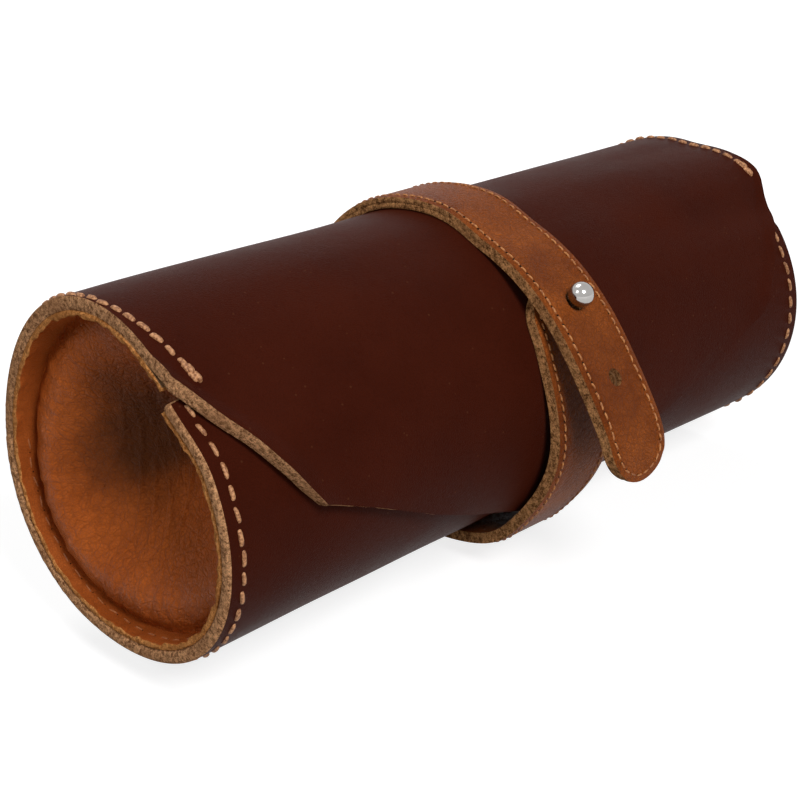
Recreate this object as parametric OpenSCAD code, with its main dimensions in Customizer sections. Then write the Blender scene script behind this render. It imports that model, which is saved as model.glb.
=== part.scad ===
// Watch roll: a tube of dark leather closed by a flap and a buttoned strap.
// X runs along the roll, -Y is the front where the flap closes, +Z is up.
// The origin is at the middle of the footprint, on the surface the roll lies on.
// Angles go round the roll: 0 is the front, 90 the top, 180 the back, 270 the bottom.

/* [Roll] */
// Length of the roll between its two rims
roll_length = 215; // [196:1:240]
// Outer diameter of the rolled cover
roll_diameter = 86; // [82:1:96]
// Angle of the fold at the back of the lid
hinge_angle = 130; // [126:1:134]
// Angle of the cover's free front edge, under the flap
front_edge_angle = 50; // [44:1:52]
// How far the front edge is tucked in under the flap
front_tuck = 2; // [1.2:0.1:2.4]

/* [Leather] */
// Thickness of the dark cover leather
cover_leather = 3.2; // [2.6:0.1:3.6]
// Thickness of the tan lining leather
lining_leather = 1.3; // [0.9:0.1:1.6]
// Thickness of one of the strap's two plies
strap_ply = 1.6; // [1.3:0.05:1.7]

/* [Flap] */
// Angle at which the flap starts to taper from the rims
flap_root_angle = 48; // [44:1:50]
// Angle of the flap's two corners
flap_corner_angle = 6; // [2:1:10]
// Distance of each corner from the middle of the roll
flap_corner_reach = 85; // [70:1:92]
// Angle of the flap's point, below the front
flap_tip_angle = -45; // [-46:1:-36]

/* [Strap] */
// Width of the strap
strap_width = 20.5; // [18:0.5:24]
// Distance of the strap's middle from the middle of the roll
strap_offset = 2; // [-6:0.5:6]
// Angle at which the tongue leaves the lid
tongue_root_angle = 62; // [60:1:66]
// Length of the tongue's first, tighter bend
tongue_bend_length = 35; // [32:1:38]
// Length of the tongue's flatter middle stretch
tongue_flat_length = 24; // [20:1:30]
// Length of the tongue's curled tip
tongue_tip_length = 16; // [12:1:20]
// Angle of the rounded top end of the stud strap, under the tongue
stud_strap_end_angle = 41; // [38:1:41]
// Angle of the fold at the foot of the stud strap
stud_strap_root_angle = -48; // [-52:1:-47]
// Distance from the strap's edge to its stitching
strap_seam_inset = 1.9; // [1.4:0.1:3]

/* [Stud] */
// Diameter of the stud's ball
ball_diameter = 6.4; // [5:0.1:6.8]
// Diameter of the stud's neck
neck_diameter = 3.2; // [2.6:0.1:3.6]
// Height of the ball's centre above the tongue
ball_rise = 2.5; // [2.2:0.1:2.8]
// Distance along the tongue from its root to the button hole
button_hole_distance = 26.5; // [26:0.25:27]
// Distance between the button hole and the spare hole
spare_hole_pitch = 21.5; // [20.5:0.5:24]
// Diameter of the spare hole
spare_hole_diameter = 3.6; // [3:0.1:4]

/* [Ends] */
// Depth of an end cushion's edge behind the rim
cushion_edge_depth = 8; // [7:0.5:11]
// Height of the cushion's padded crest over its edge
cushion_crest_height = 2.5; // [2:0.5:4]
// Depth that the middle of the cushion sinks below its edge
cushion_sink = 12; // [8:0.5:13]
// Thickness of a cushion at its edge
cushion_thickness = 16; // [15:0.5:18]
// Thickness of the board behind each end cushion
end_board_thickness = 2; // [1.5:0.5:3]

/* [Inside] */
// Thickness of each divider between the watch bays
divider_thickness = 3; // [2:0.5:4]
// Width of a watch pillow, front to back
pillow_width = 45; // [38:1:46]
// Height of a watch pillow
pillow_height = 56; // [46:1:58]
// Gap between a pillow and the walls of its bay
pillow_gap = 0.8; // [0.4:0.1:2]
// Thickness of a pillow's suede cover
pillow_suede = 1.2; // [0.8:0.1:1.6]

/* [Stitching] */
// Diameter of the thread on the rims
thread_diameter = 0.9; // [0.6:0.1:1.2]
// Length of one stitch on the rims
stitch_length = 4; // [3:0.25:4.25]
// Distance from one stitch to the next
stitch_pitch = 5; // [4.75:0.25:7]
// Distance of the stitching from the rims
rim_seam_inset = 3.3; // [2.5:0.1:6]

/* [Hidden] */
$fn = 64;

// Gap between glued or sewn layers of one body
glue = 0.05;
// Gap between leather surfaces that move against each other
slip = 0.3;
// Half of the slit at a fold, measured as an angle
fold_gap = 0.25;
// Step of the curved profiles, as an angle
profile_step = 4;
// Depth of the strap's flat underside, where the roll lies on it
rest_flat = 0.9;
// Angles between which the lid climbs over the tucked front edge
climb_from = 100;
climb_to = 52;
// Angles between which the cover's front is drawn inwards
tuck_from = -60;
tuck_to = 20;
// Room under the stud strap where it passes the flap's point
point_room = 0.6;
point_room_centre = -46;
point_room_spread = 30;
// Bow of the stud strap, which stands off the flap below the front
strap_bow = 2.6;
bow_centre = -12;
bow_spread = 32;
// Angle under the roll from which the strap begins to stand off the cover
stand_off_from = 276;
// Angles between which what is fitted inside opens out again above the front edge
open_out_from = 55;
open_out_to = 95;
// Radii of the tongue's three bends, and its slope where it leaves the lid
tongue_bend_radius = 60;
tongue_flat_radius = 170;
tongue_tip_radius = 30;
tongue_start_slope = -18;
// Length and width of the soft leather round the button hole
lips_before = 5;
lips_after = 16;
lips_width = 9.6;
// Room between the ball and the dip it presses into the leather
seat_room = 0.15;
// Angles between which the strap's underside carries no thread, so that it lies flat
bare_from = 254;
bare_to = 292;
// Thread of the strap's finer seams
seam_width = 0.8;
seam_height = 0.4;

roll_radius = roll_diameter / 2;
half_length = roll_length / 2;
strap_thickness = 2 * strap_ply + glue;
bore_radius = roll_radius - cover_leather - glue - lining_leather;
strap_left = strap_offset - strap_width / 2;
strap_right = strap_offset + strap_width / 2;
strap_bottom_radius = roll_radius + slip + strap_thickness;
ball_radius = ball_diameter / 2;
button_hole_diameter = 2 * max(neck_diameter / 2 + 0.5,
    sqrt(max(0, pow(ball_radius, 2) - pow(ball_rise, 2))) + 0.2);
cushion_face = half_length - cushion_edge_depth;
cushion_back = cushion_face - cushion_thickness;
bay_end = cushion_back - slip - end_board_thickness;
bay_length = (2 * bay_end - 2 * divider_thickness) / 3;
bay_pitch = bay_length + divider_thickness;
mouth_height = bore_radius * sin(front_edge_angle);
pillow_z = -bore_radius + slip + pillow_height / 2;

function smooth(t) = t <= 0 ? 0 : t >= 1 ? 1 : t * t * (3 - 2 * t);
function mix(a, b, t) = a + (b - a) * t;

// A point at radius r and angle a round the roll, as [front-to-back, height]
function polar(r, a) = [-r * cos(a), r * sin(a)];

// Outer radius of the cover at angle a, from -90 at the bottom up to its front edge
function tucked_radius(a) = roll_radius
    - front_tuck * smooth((a - tuck_from) / (tuck_to - tuck_from));
function cover_radius(a) = a > 180 ? tucked_radius(a - 360) : a < 90 ? tucked_radius(a) : roll_radius;

// Radius of what is fitted inside: it follows the tucked front, then opens out again
function fitted_radius(a) = bore_radius - slip
    - (a > 180 ? roll_radius - tucked_radius(a - 360)
        : (roll_radius - tucked_radius(a)) * smooth((open_out_to - a) / (open_out_to - open_out_from)));

// Outer radius of the lid and flap, which climb over the tucked front edge
function lid_radius(a) = a < climb_to
    ? tucked_radius(min(a, front_edge_angle)) + slip + cover_leather
    : roll_radius + (cover_leather + slip - front_tuck)
        * smooth((climb_from - a) / (climb_from - climb_to));

// Inner radius of the strap where it lies on the lid, and under the roll
function slack(a) = point_room * smooth(1 - abs(a - point_room_centre) / point_room_spread)
    + strap_bow * smooth(1 - abs(a - bow_centre) / bow_spread);
function strap_radius(a) = lid_radius(a) + slip + slack(a);
function under_strap_radius(a) = a < 270 ? roll_radius + slip
    : mix(roll_radius + slip, strap_radius(stud_strap_root_angle),
        smooth((a - stand_off_from) / (360 + stud_strap_root_angle - stand_off_from)));

// The tongue's outer line: three bends in a row, with the slope at each distance
function arc_end(start, slope, radius, length) = let (turn = length / radius * 180 / PI)
    [start[0] + radius * (sin(slope) - sin(slope - turn)),
     start[1] + radius * (cos(slope - turn) - cos(slope)), slope - turn];
tongue_start = [lid_radius(tongue_root_angle) + slip + strap_thickness, tongue_root_angle];
bend_start = [tongue_start[0] * cos(tongue_start[1]), tongue_start[0] * sin(tongue_start[1])];
bend_end = arc_end(bend_start, tongue_start_slope, tongue_bend_radius, tongue_bend_length);
flat_end = arc_end(bend_end, bend_end[2], tongue_flat_radius, tongue_flat_length);
tongue_length = tongue_bend_length + tongue_flat_length + tongue_tip_length;
function tongue_at(s) = s <= tongue_bend_length
    ? arc_end(bend_start, tongue_start_slope, tongue_bend_radius, s)
    : s <= tongue_bend_length + tongue_flat_length
    ? arc_end(bend_end, bend_end[2], tongue_flat_radius, s - tongue_bend_length)
    : arc_end(flat_end, flat_end[2], tongue_tip_radius, s - tongue_bend_length - tongue_flat_length);

// A point of the tongue at distance s and depth d below its outer line
function tongue_point(s, d) = let (p = tongue_at(s))
    [-(p[0] - d * sin(-p[2])), p[1] - d * cos(p[2])];

// Places whose profile is drawn across the roll, between two positions along it
module along_roll(x_from, x_to)
    translate([x_from, roll_axis_y, roll_axis_z])
        rotate([90, 0, 90])
            linear_extrude(x_to - x_from) children();

module at_axis() translate([0, roll_axis_y, roll_axis_z]) children();

function steps(a_from, a_to) = [for (i = [0 : ceil(abs(a_to - a_from) / profile_step)])
    mix(a_from, a_to, i / ceil(abs(a_to - a_from) / profile_step))];

// Bands of leather wound round the roll, each in its own run of angles
module cover_band(depth_from, depth_to, a_from, a_to)
    polygon([for (a = steps(a_from, a_to)) polar(cover_radius(a) - depth_from, a),
             for (a = steps(a_to, a_from)) polar(cover_radius(a) - depth_to, a)]);
module lid_band(depth_from, depth_to, a_from, a_to)
    polygon([for (a = steps(a_from, a_to)) polar(lid_radius(a) - depth_from, a),
             for (a = steps(a_to, a_from)) polar(lid_radius(a) - depth_to, a)]);
module strap_band(rise_from, rise_to, a_from, a_to)
    polygon([for (a = steps(a_from, a_to)) polar(strap_radius(a) + rise_from, a),
             for (a = steps(a_to, a_from)) polar(strap_radius(a) + rise_to, a)]);
module under_strap_band(rise_from, rise_to, a_from, a_to)
    polygon([for (a = steps(a_from, a_to)) polar(under_strap_radius(a) + rise_from, a),
             for (a = steps(a_to, a_from)) polar(under_strap_radius(a) + rise_to, a)]);
module tongue_band(depth_from, depth_to, s_from, s_to) {
    count = ceil((s_to - s_from) / 2.5);
    places = [for (i = [0 : count]) mix(s_from, s_to, i / count)];
    polygon([for (s = places) tongue_point(s, depth_from),
             for (i = [count : -1 : 0]) tongue_point(places[i], depth_to)]);
}

// Middle of the footprint: the tongue stands out in front, the strap behind
front_reach = max([for (s = [0 : 1 : tongue_length]) -tongue_point(s, 0)[0]]);
back_reach = strap_bottom_radius;
roll_axis_y = (front_reach - back_reach) / 2;
roll_axis_z = strap_bottom_radius - rest_flat;

// Turns a shape drawn along +Z to point out of the tongue's face at distance s
module on_tongue(s) {
    p = tongue_point(s, 0);
    slope = tongue_at(s)[2];
    translate([strap_offset, roll_axis_y + p[0], roll_axis_z + p[1]]) rotate([-slope, 0, 0]) children();
}

// Rounded end of a strap, seen from its face, reaching back over its straight part
module strap_end_shape(back) {
    circle(d = strap_width);
    translate([-strap_width / 2, 0]) square([strap_width, back]);
}

module cover_body() color([0.26, 0.1, 0.07])
    along_roll(-half_length, half_length)
        cover_band(0, cover_leather, hinge_angle + fold_gap, 360 + front_edge_angle);

module cover_body_lining() color([0.72, 0.45, 0.22])
    along_roll(-half_length, half_length)
        cover_band(cover_leather + glue, cover_leather + glue + lining_leather,
            hinge_angle + fold_gap, 360 + front_edge_angle);

// The flap's outline seen from its own middle: full width over the top, then a steep
// taper to two corners, then a long shallow run to the point
flap_view_angle = 5;
function flap_height(a) = lid_radius(a) * sin(a - flap_view_angle);
module flap_outline()
    polygon([[-half_length - 1, 2 * roll_radius], [-half_length - 1, flap_height(flap_root_angle)],
        [-flap_corner_reach, flap_height(flap_corner_angle)], [0, flap_height(flap_tip_angle)],
        [flap_corner_reach, flap_height(flap_corner_angle)],
        [half_length + 1, flap_height(flap_root_angle)], [half_length + 1, 2 * roll_radius]]);

module flap() color([0.28, 0.11, 0.08])
    intersection() {
        along_roll(-half_length, half_length)
            lid_band(0, cover_leather, flap_tip_angle - 1, hinge_angle - fold_gap);
        at_axis()
            rotate([90 - flap_view_angle, 0, 0])
                translate([0, 0, -2 * roll_radius])
                    linear_extrude(4 * roll_radius) flap_outline();
    }

module lid_lining() color([0.72, 0.45, 0.22])
    along_roll(-half_length, half_length)
        lid_band(cover_leather + glue, cover_leather + glue + lining_leather,
            front_edge_angle + 4, hinge_angle - fold_gap);

// Padded leather end: a crest runs round inside the rim and the rest sinks in like a dish.
// The crest is fuller at the back and below, and the dish is deepest towards the front and top.
cushion_rings = 11;
cushion_spokes = 40;
crest_place = 0.84;
crest_spread = 0.22;
dish_centre = [0.18, 0.18];
dish_reach = 0.85;
function crest(t, a) = cushion_crest_height * (0.7 - 0.5 * cos(a - 40))
    * smooth(1 - abs(t - crest_place) / crest_spread);
function dish(t, a) = cushion_sink * smooth(1 - norm([t * cos(a), t * sin(a)] - dish_centre) / dish_reach);
function pleat(t, a) = 0.8 * sin(9 * a) * t * (1 - t) * smooth(1.6 - 2 * t);
function cushion_point(i, j) = let (t = i / cushion_rings, a = j * 360 / cushion_spokes,
    p = polar(t * fitted_radius(a), a))
    [-cushion_face - crest(t, a) + dish(t, a) + pleat(t, a), p[0], p[1]];
module end_cushion() {
    front = [for (i = [1 : cushion_rings], j = [0 : cushion_spokes - 1]) cushion_point(i, j)];
    rim = [for (j = [0 : cushion_spokes - 1]) let (a = j * 360 / cushion_spokes, p = polar(fitted_radius(a), a))
        [-cushion_back, p[0], p[1]]];
    middle = cushion_point(0, 0);
    points = concat(front, rim, [middle, [-cushion_back, 0, 0]]);
    rows = cushion_rings + 1;
    top = rows * cushion_spokes;
    faces = concat(
        [for (i = [0 : rows - 2], j = [0 : cushion_spokes - 1], k = [0, 1])
            let (n = (j + 1) % cushion_spokes, a = i * cushion_spokes)
            k == 0 ? [a + j, a + n, a + cushion_spokes + j]
                : [a + n, a + cushion_spokes + n, a + cushion_spokes + j]],
        [for (j = [0 : cushion_spokes - 1]) [top, (j + 1) % cushion_spokes, j]],
        [for (j = [0 : cushion_spokes - 1])
            [top + 1, (rows - 1) * cushion_spokes + j, (rows - 1) * cushion_spokes + (j + 1) % cushion_spokes]]);
    at_axis() polyhedron(points, faces);
}

module left_end_cushion() color([0.78, 0.5, 0.25]) end_cushion();
module right_end_cushion() color([0.78, 0.5, 0.25]) mirror([1, 0, 0]) end_cushion();

module disc(x_from, thickness)
    along_roll(x_from, x_from + thickness)
        polygon([for (a = [0 : profile_step : 359]) polar(fitted_radius(a), a)]);

module left_end_board() color([0.45, 0.33, 0.22])
    disc(-cushion_back + slip, end_board_thickness);
module right_end_board() color([0.45, 0.33, 0.22])
    disc(cushion_back - slip - end_board_thickness, end_board_thickness);

// A divider is a disc with its top cut level with the mouth
module divider(x)
    intersection() {
        disc(x - divider_thickness / 2, divider_thickness);
        at_axis()
            translate([x - roll_radius, -roll_radius, -roll_radius])
                cube([2 * roll_radius, 2 * roll_radius, roll_radius + mouth_height]);
    }
module left_divider() color([0.6, 0.38, 0.2]) divider(-bay_pitch / 2);
module right_divider() color([0.6, 0.38, 0.2]) divider(bay_pitch / 2);

// A watch pillow: an oval roll of foam whose ends draw in, under a suede cover
pillow_length = bay_length - 2 * pillow_gap;
pillow_rings = 9;
pillow_sides = 32;
function pillow_swell(u) = 1 - 0.3 * pow(abs(u), 6) - 0.04 * u * u;
module pillow_form(x, inset) {
    function ring_point(i, j) = let (u = 2 * i / (pillow_rings - 1) - 1, a = j * 360 / pillow_sides,
        k = pillow_swell(u))
        [x + u * (pillow_length / 2 - inset), (k * pillow_width / 2 - inset) * cos(a),
            pillow_z + (k * pillow_height / 2 - inset) * sin(a)];
    points = [for (i = [0 : pillow_rings - 1], j = [0 : pillow_sides - 1]) ring_point(i, j)];
    last = (pillow_rings - 1) * pillow_sides;
    faces = concat([[for (j = [0 : pillow_sides - 1]) j]],
        [[for (j = [pillow_sides - 1 : -1 : 0]) last + j]],
        [for (i = [0 : pillow_rings - 2], j = [0 : pillow_sides - 1], k = [0, 1])
            let (n = (j + 1) % pillow_sides, a = i * pillow_sides)
            k == 0 ? [a + j, a + pillow_sides + j, a + n]
                : [a + n, a + pillow_sides + j, a + pillow_sides + n]]);
    at_axis() polyhedron(points, faces);
}
module pillow_suede_cover(x)
    difference() {
        pillow_form(x, 0);
        pillow_form(x, pillow_suede);
    }
module pillow_core(x) pillow_form(x, pillow_suede + glue);

module left_pillow_suede() color([0.62, 0.5, 0.38]) pillow_suede_cover(-bay_pitch);
module middle_pillow_suede() color([0.62, 0.5, 0.38]) pillow_suede_cover(0);
module right_pillow_suede() color([0.62, 0.5, 0.38]) pillow_suede_cover(bay_pitch);
module left_pillow_core() color([0.9, 0.88, 0.82]) pillow_core(-bay_pitch);
module middle_pillow_core() color([0.9, 0.88, 0.82]) pillow_core(0);
module right_pillow_core() color([0.9, 0.88, 0.82]) pillow_core(bay_pitch);

// One stitch lying across angle a on a surface of radius r
module stitch(r, a) {
    p = polar(r + thread_diameter / 2 + glue + 0.1, a);
    translate([0, p[0], p[1]])
        rotate([180 - a, 0, 0])
            cylinder(d = thread_diameter, h = stitch_length, center = true, $fn = 16);
}
stitch_step = stitch_pitch / roll_radius * 180 / PI;
// The body's row stops where the flap covers it, this far below the flap's root
covered_row = 14;
rim_stitches = floor((360 - hinge_angle + flap_root_angle - covered_row) / stitch_step);
lid_stitches = floor((hinge_angle - flap_root_angle - 4) / stitch_step);
module body_rim_thread(side)
    color([0.85, 0.55, 0.25]) at_axis() translate([side * (half_length - rim_seam_inset), 0, 0])
        for (i = [0 : rim_stitches - 1]) {
            a = hinge_angle + 3 + (i + 0.5) * stitch_step;
            stitch(cover_radius(a), a);
        }
module lid_rim_thread(side)
    color([0.85, 0.55, 0.25]) at_axis() translate([side * (half_length - rim_seam_inset), 0, 0])
        for (i = [0 : lid_stitches - 1]) {
            a = hinge_angle - 3 - (i + 0.5) * stitch_step;
            stitch(lid_radius(a), a);
        }
module left_rim_thread() body_rim_thread(-1);
module right_rim_thread() body_rim_thread(1);
module left_lid_thread() lid_rim_thread(-1);
module right_lid_thread() lid_rim_thread(1);

// Fixed stretch of the strap: down the back and under the roll, flat where it lies
module above_floor()
    intersection() {
        children();
        translate([-half_length, -2 * roll_radius, 0])
            cube([roll_length, 4 * roll_radius, 4 * roll_radius]);
    }
strap_back_end = 360 + stud_strap_root_angle - fold_gap;
module strap_back_face() color([0.75, 0.48, 0.24])
    above_floor()
        along_roll(strap_left, strap_right)
            under_strap_band(strap_ply + glue, strap_thickness, hinge_angle + fold_gap, strap_back_end);
module strap_back_lining() color([0.6, 0.42, 0.26])
    along_roll(strap_left, strap_right)
        under_strap_band(0, strap_ply, hinge_angle + fold_gap, strap_back_end);

module seam_pair()
    for (x = [strap_left + strap_seam_inset, strap_right - strap_seam_inset])
        along_roll(x - seam_width / 2, x + seam_width / 2) children();
module strap_back_thread() color([0.85, 0.55, 0.25]) {
    seam_pair()
        under_strap_band(strap_thickness + glue, strap_thickness + glue + seam_height,
            hinge_angle + 2, bare_from);
    seam_pair()
        under_strap_band(strap_thickness + glue, strap_thickness + glue + seam_height,
            bare_to, strap_back_end - 1);
}

// Crosswise seams that sew the strap to the back of the cover
anchor_angles = [168, 192];
module strap_anchor_thread() color([0.85, 0.55, 0.25])
    for (a = anchor_angles)
        along_roll(strap_left + 2 * strap_seam_inset, strap_right - 2 * strap_seam_inset)
            under_strap_band(strap_thickness + glue, strap_thickness + glue + seam_height, a - 0.5, a + 0.5);

module strap_top_face() color([0.75, 0.48, 0.24])
    along_roll(strap_left, strap_right)
        strap_band(strap_ply + glue, strap_thickness, tongue_root_angle + fold_gap, hinge_angle - fold_gap);
module strap_top_lining() color([0.6, 0.42, 0.26])
    along_roll(strap_left, strap_right)
        strap_band(0, strap_ply, tongue_root_angle + fold_gap, hinge_angle - fold_gap);
module strap_top_thread() color([0.85, 0.55, 0.25])
    seam_pair()
        strap_band(strap_thickness + glue, strap_thickness + glue + seam_height,
            tongue_root_angle + 1, hinge_angle - 2);

// The tongue, with a rounded tip, a spare hole and a window for the button hole's lips
tongue_tip_centre = tongue_length - strap_width / 2;
module tongue_ply(depth_from, depth_to)
    difference() {
        intersection() {
            along_roll(strap_left, strap_right) tongue_band(depth_from, depth_to, fold_gap, tongue_length);
            on_tongue(tongue_tip_centre)
                translate([0, 0, -roll_radius])
                    linear_extrude(2 * roll_radius) strap_end_shape(4 * roll_radius);
        }
        on_tongue(button_hole_distance) lips_window(0);
        on_tongue(button_hole_distance + spare_hole_pitch)
            cylinder(d = spare_hole_diameter, h = 4 * strap_thickness, center = true);
    }
// An oblong prism through the tongue, round the button hole
module lips_window(inset)
    translate([-lips_width / 2 + inset, -lips_after + inset, -2 * strap_thickness])
        cube([lips_width - 2 * inset, lips_before + lips_after - 2 * inset, 4 * strap_thickness]);
module tongue_face() color([0.78, 0.5, 0.25]) tongue_ply(0, strap_ply);
module tongue_lining() color([0.6, 0.42, 0.26]) tongue_ply(strap_ply + glue, strap_thickness);
module button_hole_lips() color([0.78, 0.5, 0.25])
    difference() {
        intersection() {
            along_roll(strap_left, strap_right) tongue_band(0, strap_thickness, fold_gap, tongue_length);
            on_tongue(button_hole_distance) lips_window(glue);
        }
        stud_hole(button_hole_diameter);
        at_stud() sphere(r = ball_radius + seat_room);
    }
module tongue_thread() color([0.85, 0.55, 0.25])
    seam_pair() tongue_band(-glue - seam_height, -glue, 1, tongue_tip_centre);

// The stud strap: it carries the stud and ends in a round end under the tongue
module stud_strap_ply(rise_from, rise_to)
    intersection() {
        along_roll(strap_left, strap_right)
            strap_band(rise_from, rise_to, stud_strap_root_angle + fold_gap, stud_strap_end_angle);
        at_axis()
            translate([strap_offset, 0, 0])
                rotate([90 - stud_round_angle, 0, 0])
                    rotate([0, 0, 180])
                        translate([0, 0, -2 * roll_radius])
                            linear_extrude(4 * roll_radius) strap_end_shape(4 * roll_radius);
    }
stud_round_angle = stud_strap_end_angle - strap_width / 2 / (roll_radius + slip + strap_thickness) * 180 / PI;
module stud_strap_face() color([0.7, 0.44, 0.22])
    difference() {
        stud_strap_ply(strap_ply + glue, strap_thickness);
        stud_hole(neck_diameter + 2 * glue);
    }
module stud_strap_lining() color([0.58, 0.4, 0.25])
    difference() {
        stud_strap_ply(0, strap_ply);
        stud_hole(screw_head_diameter + 4 * glue);
    }
module stud_strap_thread() color([0.85, 0.55, 0.25])
    seam_pair()
        strap_band(strap_thickness + glue, strap_thickness + glue + seam_height,
            stud_strap_root_angle + 2, stud_round_angle);

// The stud: a ball on a neck, screwed down on a flat-headed screw behind the face ply.
// It stands square to the stud strap, and its ball lies close over the tongue.
screw_head_diameter = 8;
screw_head_thickness = 1.1;
screw_shank_diameter = 1.8;
// Room over the flat head, under the curved ply
head_room = 0.22;
// Depth of the threaded bore in the neck, and how far the screw stops short in it
bore_depth = 4;
bore_spare = 0.5;
ball_centre = tongue_point(button_hole_distance, -ball_rise);
stud_angle = atan2(ball_centre[1], -ball_centre[0]);
face_drop = norm(ball_centre) - (strap_radius(stud_angle) + strap_ply + glue);
neck_drop = face_drop - head_room;
module at_stud()
    translate([strap_offset, roll_axis_y + ball_centre[0], roll_axis_z + ball_centre[1]])
        rotate([90 - stud_angle, 0, 0]) children();
module stud_hole(diameter)
    at_stud()
        translate([0, 0, -face_drop - 2 * strap_thickness])
            cylinder(d = diameter, h = face_drop + 2 * strap_thickness);
module stud_ball() color([0.8, 0.8, 0.8])
    at_stud()
        difference() {
            union() {
                sphere(r = ball_radius);
                translate([0, 0, -neck_drop]) cylinder(d = neck_diameter, h = neck_drop);
            }
            translate([0, 0, -neck_drop - 1])
                cylinder(d = screw_shank_diameter + 2 * glue, h = bore_depth + 1);
        }
module stud_screw() color([0.7, 0.7, 0.7])
    at_stud() {
        translate([0, 0, -face_drop - head_room - screw_head_thickness])
            cylinder(d = screw_head_diameter, h = screw_head_thickness);
        translate([0, 0, -face_drop - head_room - screw_head_thickness / 2])
            cylinder(d = screw_shank_diameter,
                h = 2 * head_room + screw_head_thickness / 2 + bore_depth - bore_spare);
    }

cover_body();
cover_body_lining();
left_end_cushion();
right_end_cushion();
left_end_board();
right_end_board();
left_divider();
right_divider();
left_pillow_suede();
middle_pillow_suede();
right_pillow_suede();
left_pillow_core();
middle_pillow_core();
right_pillow_core();
left_rim_thread();
right_rim_thread();
strap_back_face();
strap_back_lining();
strap_back_thread();
strap_anchor_thread();
flap();
lid_lining();
left_lid_thread();
right_lid_thread();
strap_top_face();
strap_top_lining();
strap_top_thread();
tongue_face();
tongue_lining();
tongue_thread();
button_hole_lips();
stud_strap_face();
stud_strap_lining();
stud_strap_thread();
stud_ball();
stud_screw();
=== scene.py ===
import math

import bmesh
import bpy
import numpy as np
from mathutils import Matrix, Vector, noise


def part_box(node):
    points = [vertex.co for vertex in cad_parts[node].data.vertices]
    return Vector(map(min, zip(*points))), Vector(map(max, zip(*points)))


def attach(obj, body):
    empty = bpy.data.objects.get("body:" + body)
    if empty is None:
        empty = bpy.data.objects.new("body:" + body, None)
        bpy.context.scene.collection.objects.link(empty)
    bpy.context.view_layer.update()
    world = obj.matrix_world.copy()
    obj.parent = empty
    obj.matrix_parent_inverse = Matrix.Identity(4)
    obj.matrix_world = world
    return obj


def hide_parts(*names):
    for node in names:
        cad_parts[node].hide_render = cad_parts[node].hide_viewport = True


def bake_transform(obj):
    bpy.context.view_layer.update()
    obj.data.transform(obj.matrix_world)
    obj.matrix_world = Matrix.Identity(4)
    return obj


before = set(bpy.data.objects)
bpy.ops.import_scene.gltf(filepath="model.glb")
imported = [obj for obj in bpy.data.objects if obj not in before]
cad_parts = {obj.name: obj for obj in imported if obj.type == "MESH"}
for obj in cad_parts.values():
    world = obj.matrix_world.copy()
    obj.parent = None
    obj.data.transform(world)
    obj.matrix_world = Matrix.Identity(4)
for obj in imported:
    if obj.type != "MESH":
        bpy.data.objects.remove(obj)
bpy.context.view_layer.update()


# Cover body: the lower two thirds of the rolled sheet, from the back round to its free
# front edge. Thick dark leather, waxed smooth outside, rough inside, with raw cut edges.
# It is glued to the lining and sewn along both rims.
axis_y = 0.011018
axis_z = 0.04565
roll_radius = 43.0
half_length = 107.5
cover_thickness = 3.2
front_edge_angle = 50.0
fold_angle = 180.0
rim_tuck = 3.3
layer_gap = 0.3
strap_x = 2.0


def smooth(t):
    t = np.clip(t, 0.0, 1.0)
    return t * t * (3.0 - 2.0 * t)


def round_roll(x, radius, angle):
    """A point in metres, from mm along the roll and of radius. 0 degrees is the front, 90 the top."""
    a = np.radians(angle)
    x, radius, a = np.broadcast_arrays(np.asarray(x, float), radius, a)
    return np.stack([x / 1000, axis_y - radius * np.cos(a) / 1000, axis_z + radius * np.sin(a) / 1000], -1)


def rim_radius(angle, waves):
    """Outer radius of a rim that has sagged a little out of round."""
    t = np.radians(180.0 - np.asarray(angle, float))
    c1, s1, c2, s2, c3, s3 = waves
    return roll_radius * (
        1 + c1 * np.cos(t) + s1 * np.sin(t) + c2 * np.cos(2 * t) + s2 * np.sin(2 * t)
        + c3 * np.cos(3 * t) + s3 * np.sin(3 * t)
    )


left_rim_waves = (0.010, -0.009, -0.003, 0.017, -0.010, -0.028)
right_rim_waves = (-0.005, -0.008, 0.004, 0.011, -0.014, -0.011)


def toward_rims(x, middle, left, right):
    """Goes from the middle's value to the one at the left or right rim."""
    w = smooth((np.abs(x) - 22.0) / 85.5)
    return middle * (1 - w) + np.where(np.asarray(x) < 0, left, right) * w


def dents(x, angle):
    """Slow hand-made unevenness of the leather, in mm."""
    s = np.radians(angle) * roll_radius
    return (
        0.10 * np.sin(x / 17.0 + 0.6 * np.sin(s / 13.0)) * np.sin(s / 15.0 + 1.3)
        + 0.07 * np.sin(x / 8.3 + 2.0) * np.sin(s / 9.1 + 0.4 * np.sin(x / 21.0))
    ) * smooth((np.abs(x - strap_x) - 12.0) / 14.0)


def from_front(angle):
    """The same angle, counted from -160 to 200 degrees."""
    angle = np.asarray(angle, float)
    return np.where(angle > 200, angle - 360.0, angle)


def front_give(angle):
    """How far the middle of the sheet's front is drawn in by the strap, in mm."""
    return 2.0 * smooth((angle + 60.0) / 80.0)


def cover_radius(x, angle):
    """Outer radius of the cover body, whose front edge is tucked in under the flap."""
    a = from_front(angle)
    front = a < 100
    middle = roll_radius - front_give(a) * front
    left = rim_radius(a, left_rim_waves) - rim_tuck * smooth((a - 20.0) / 28.0) * front
    right = rim_radius(a, right_rim_waves) - rim_tuck * smooth((a - 32.0) / 17.0) * front
    return toward_rims(x, middle, left, right) + dents(x, a)


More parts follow.
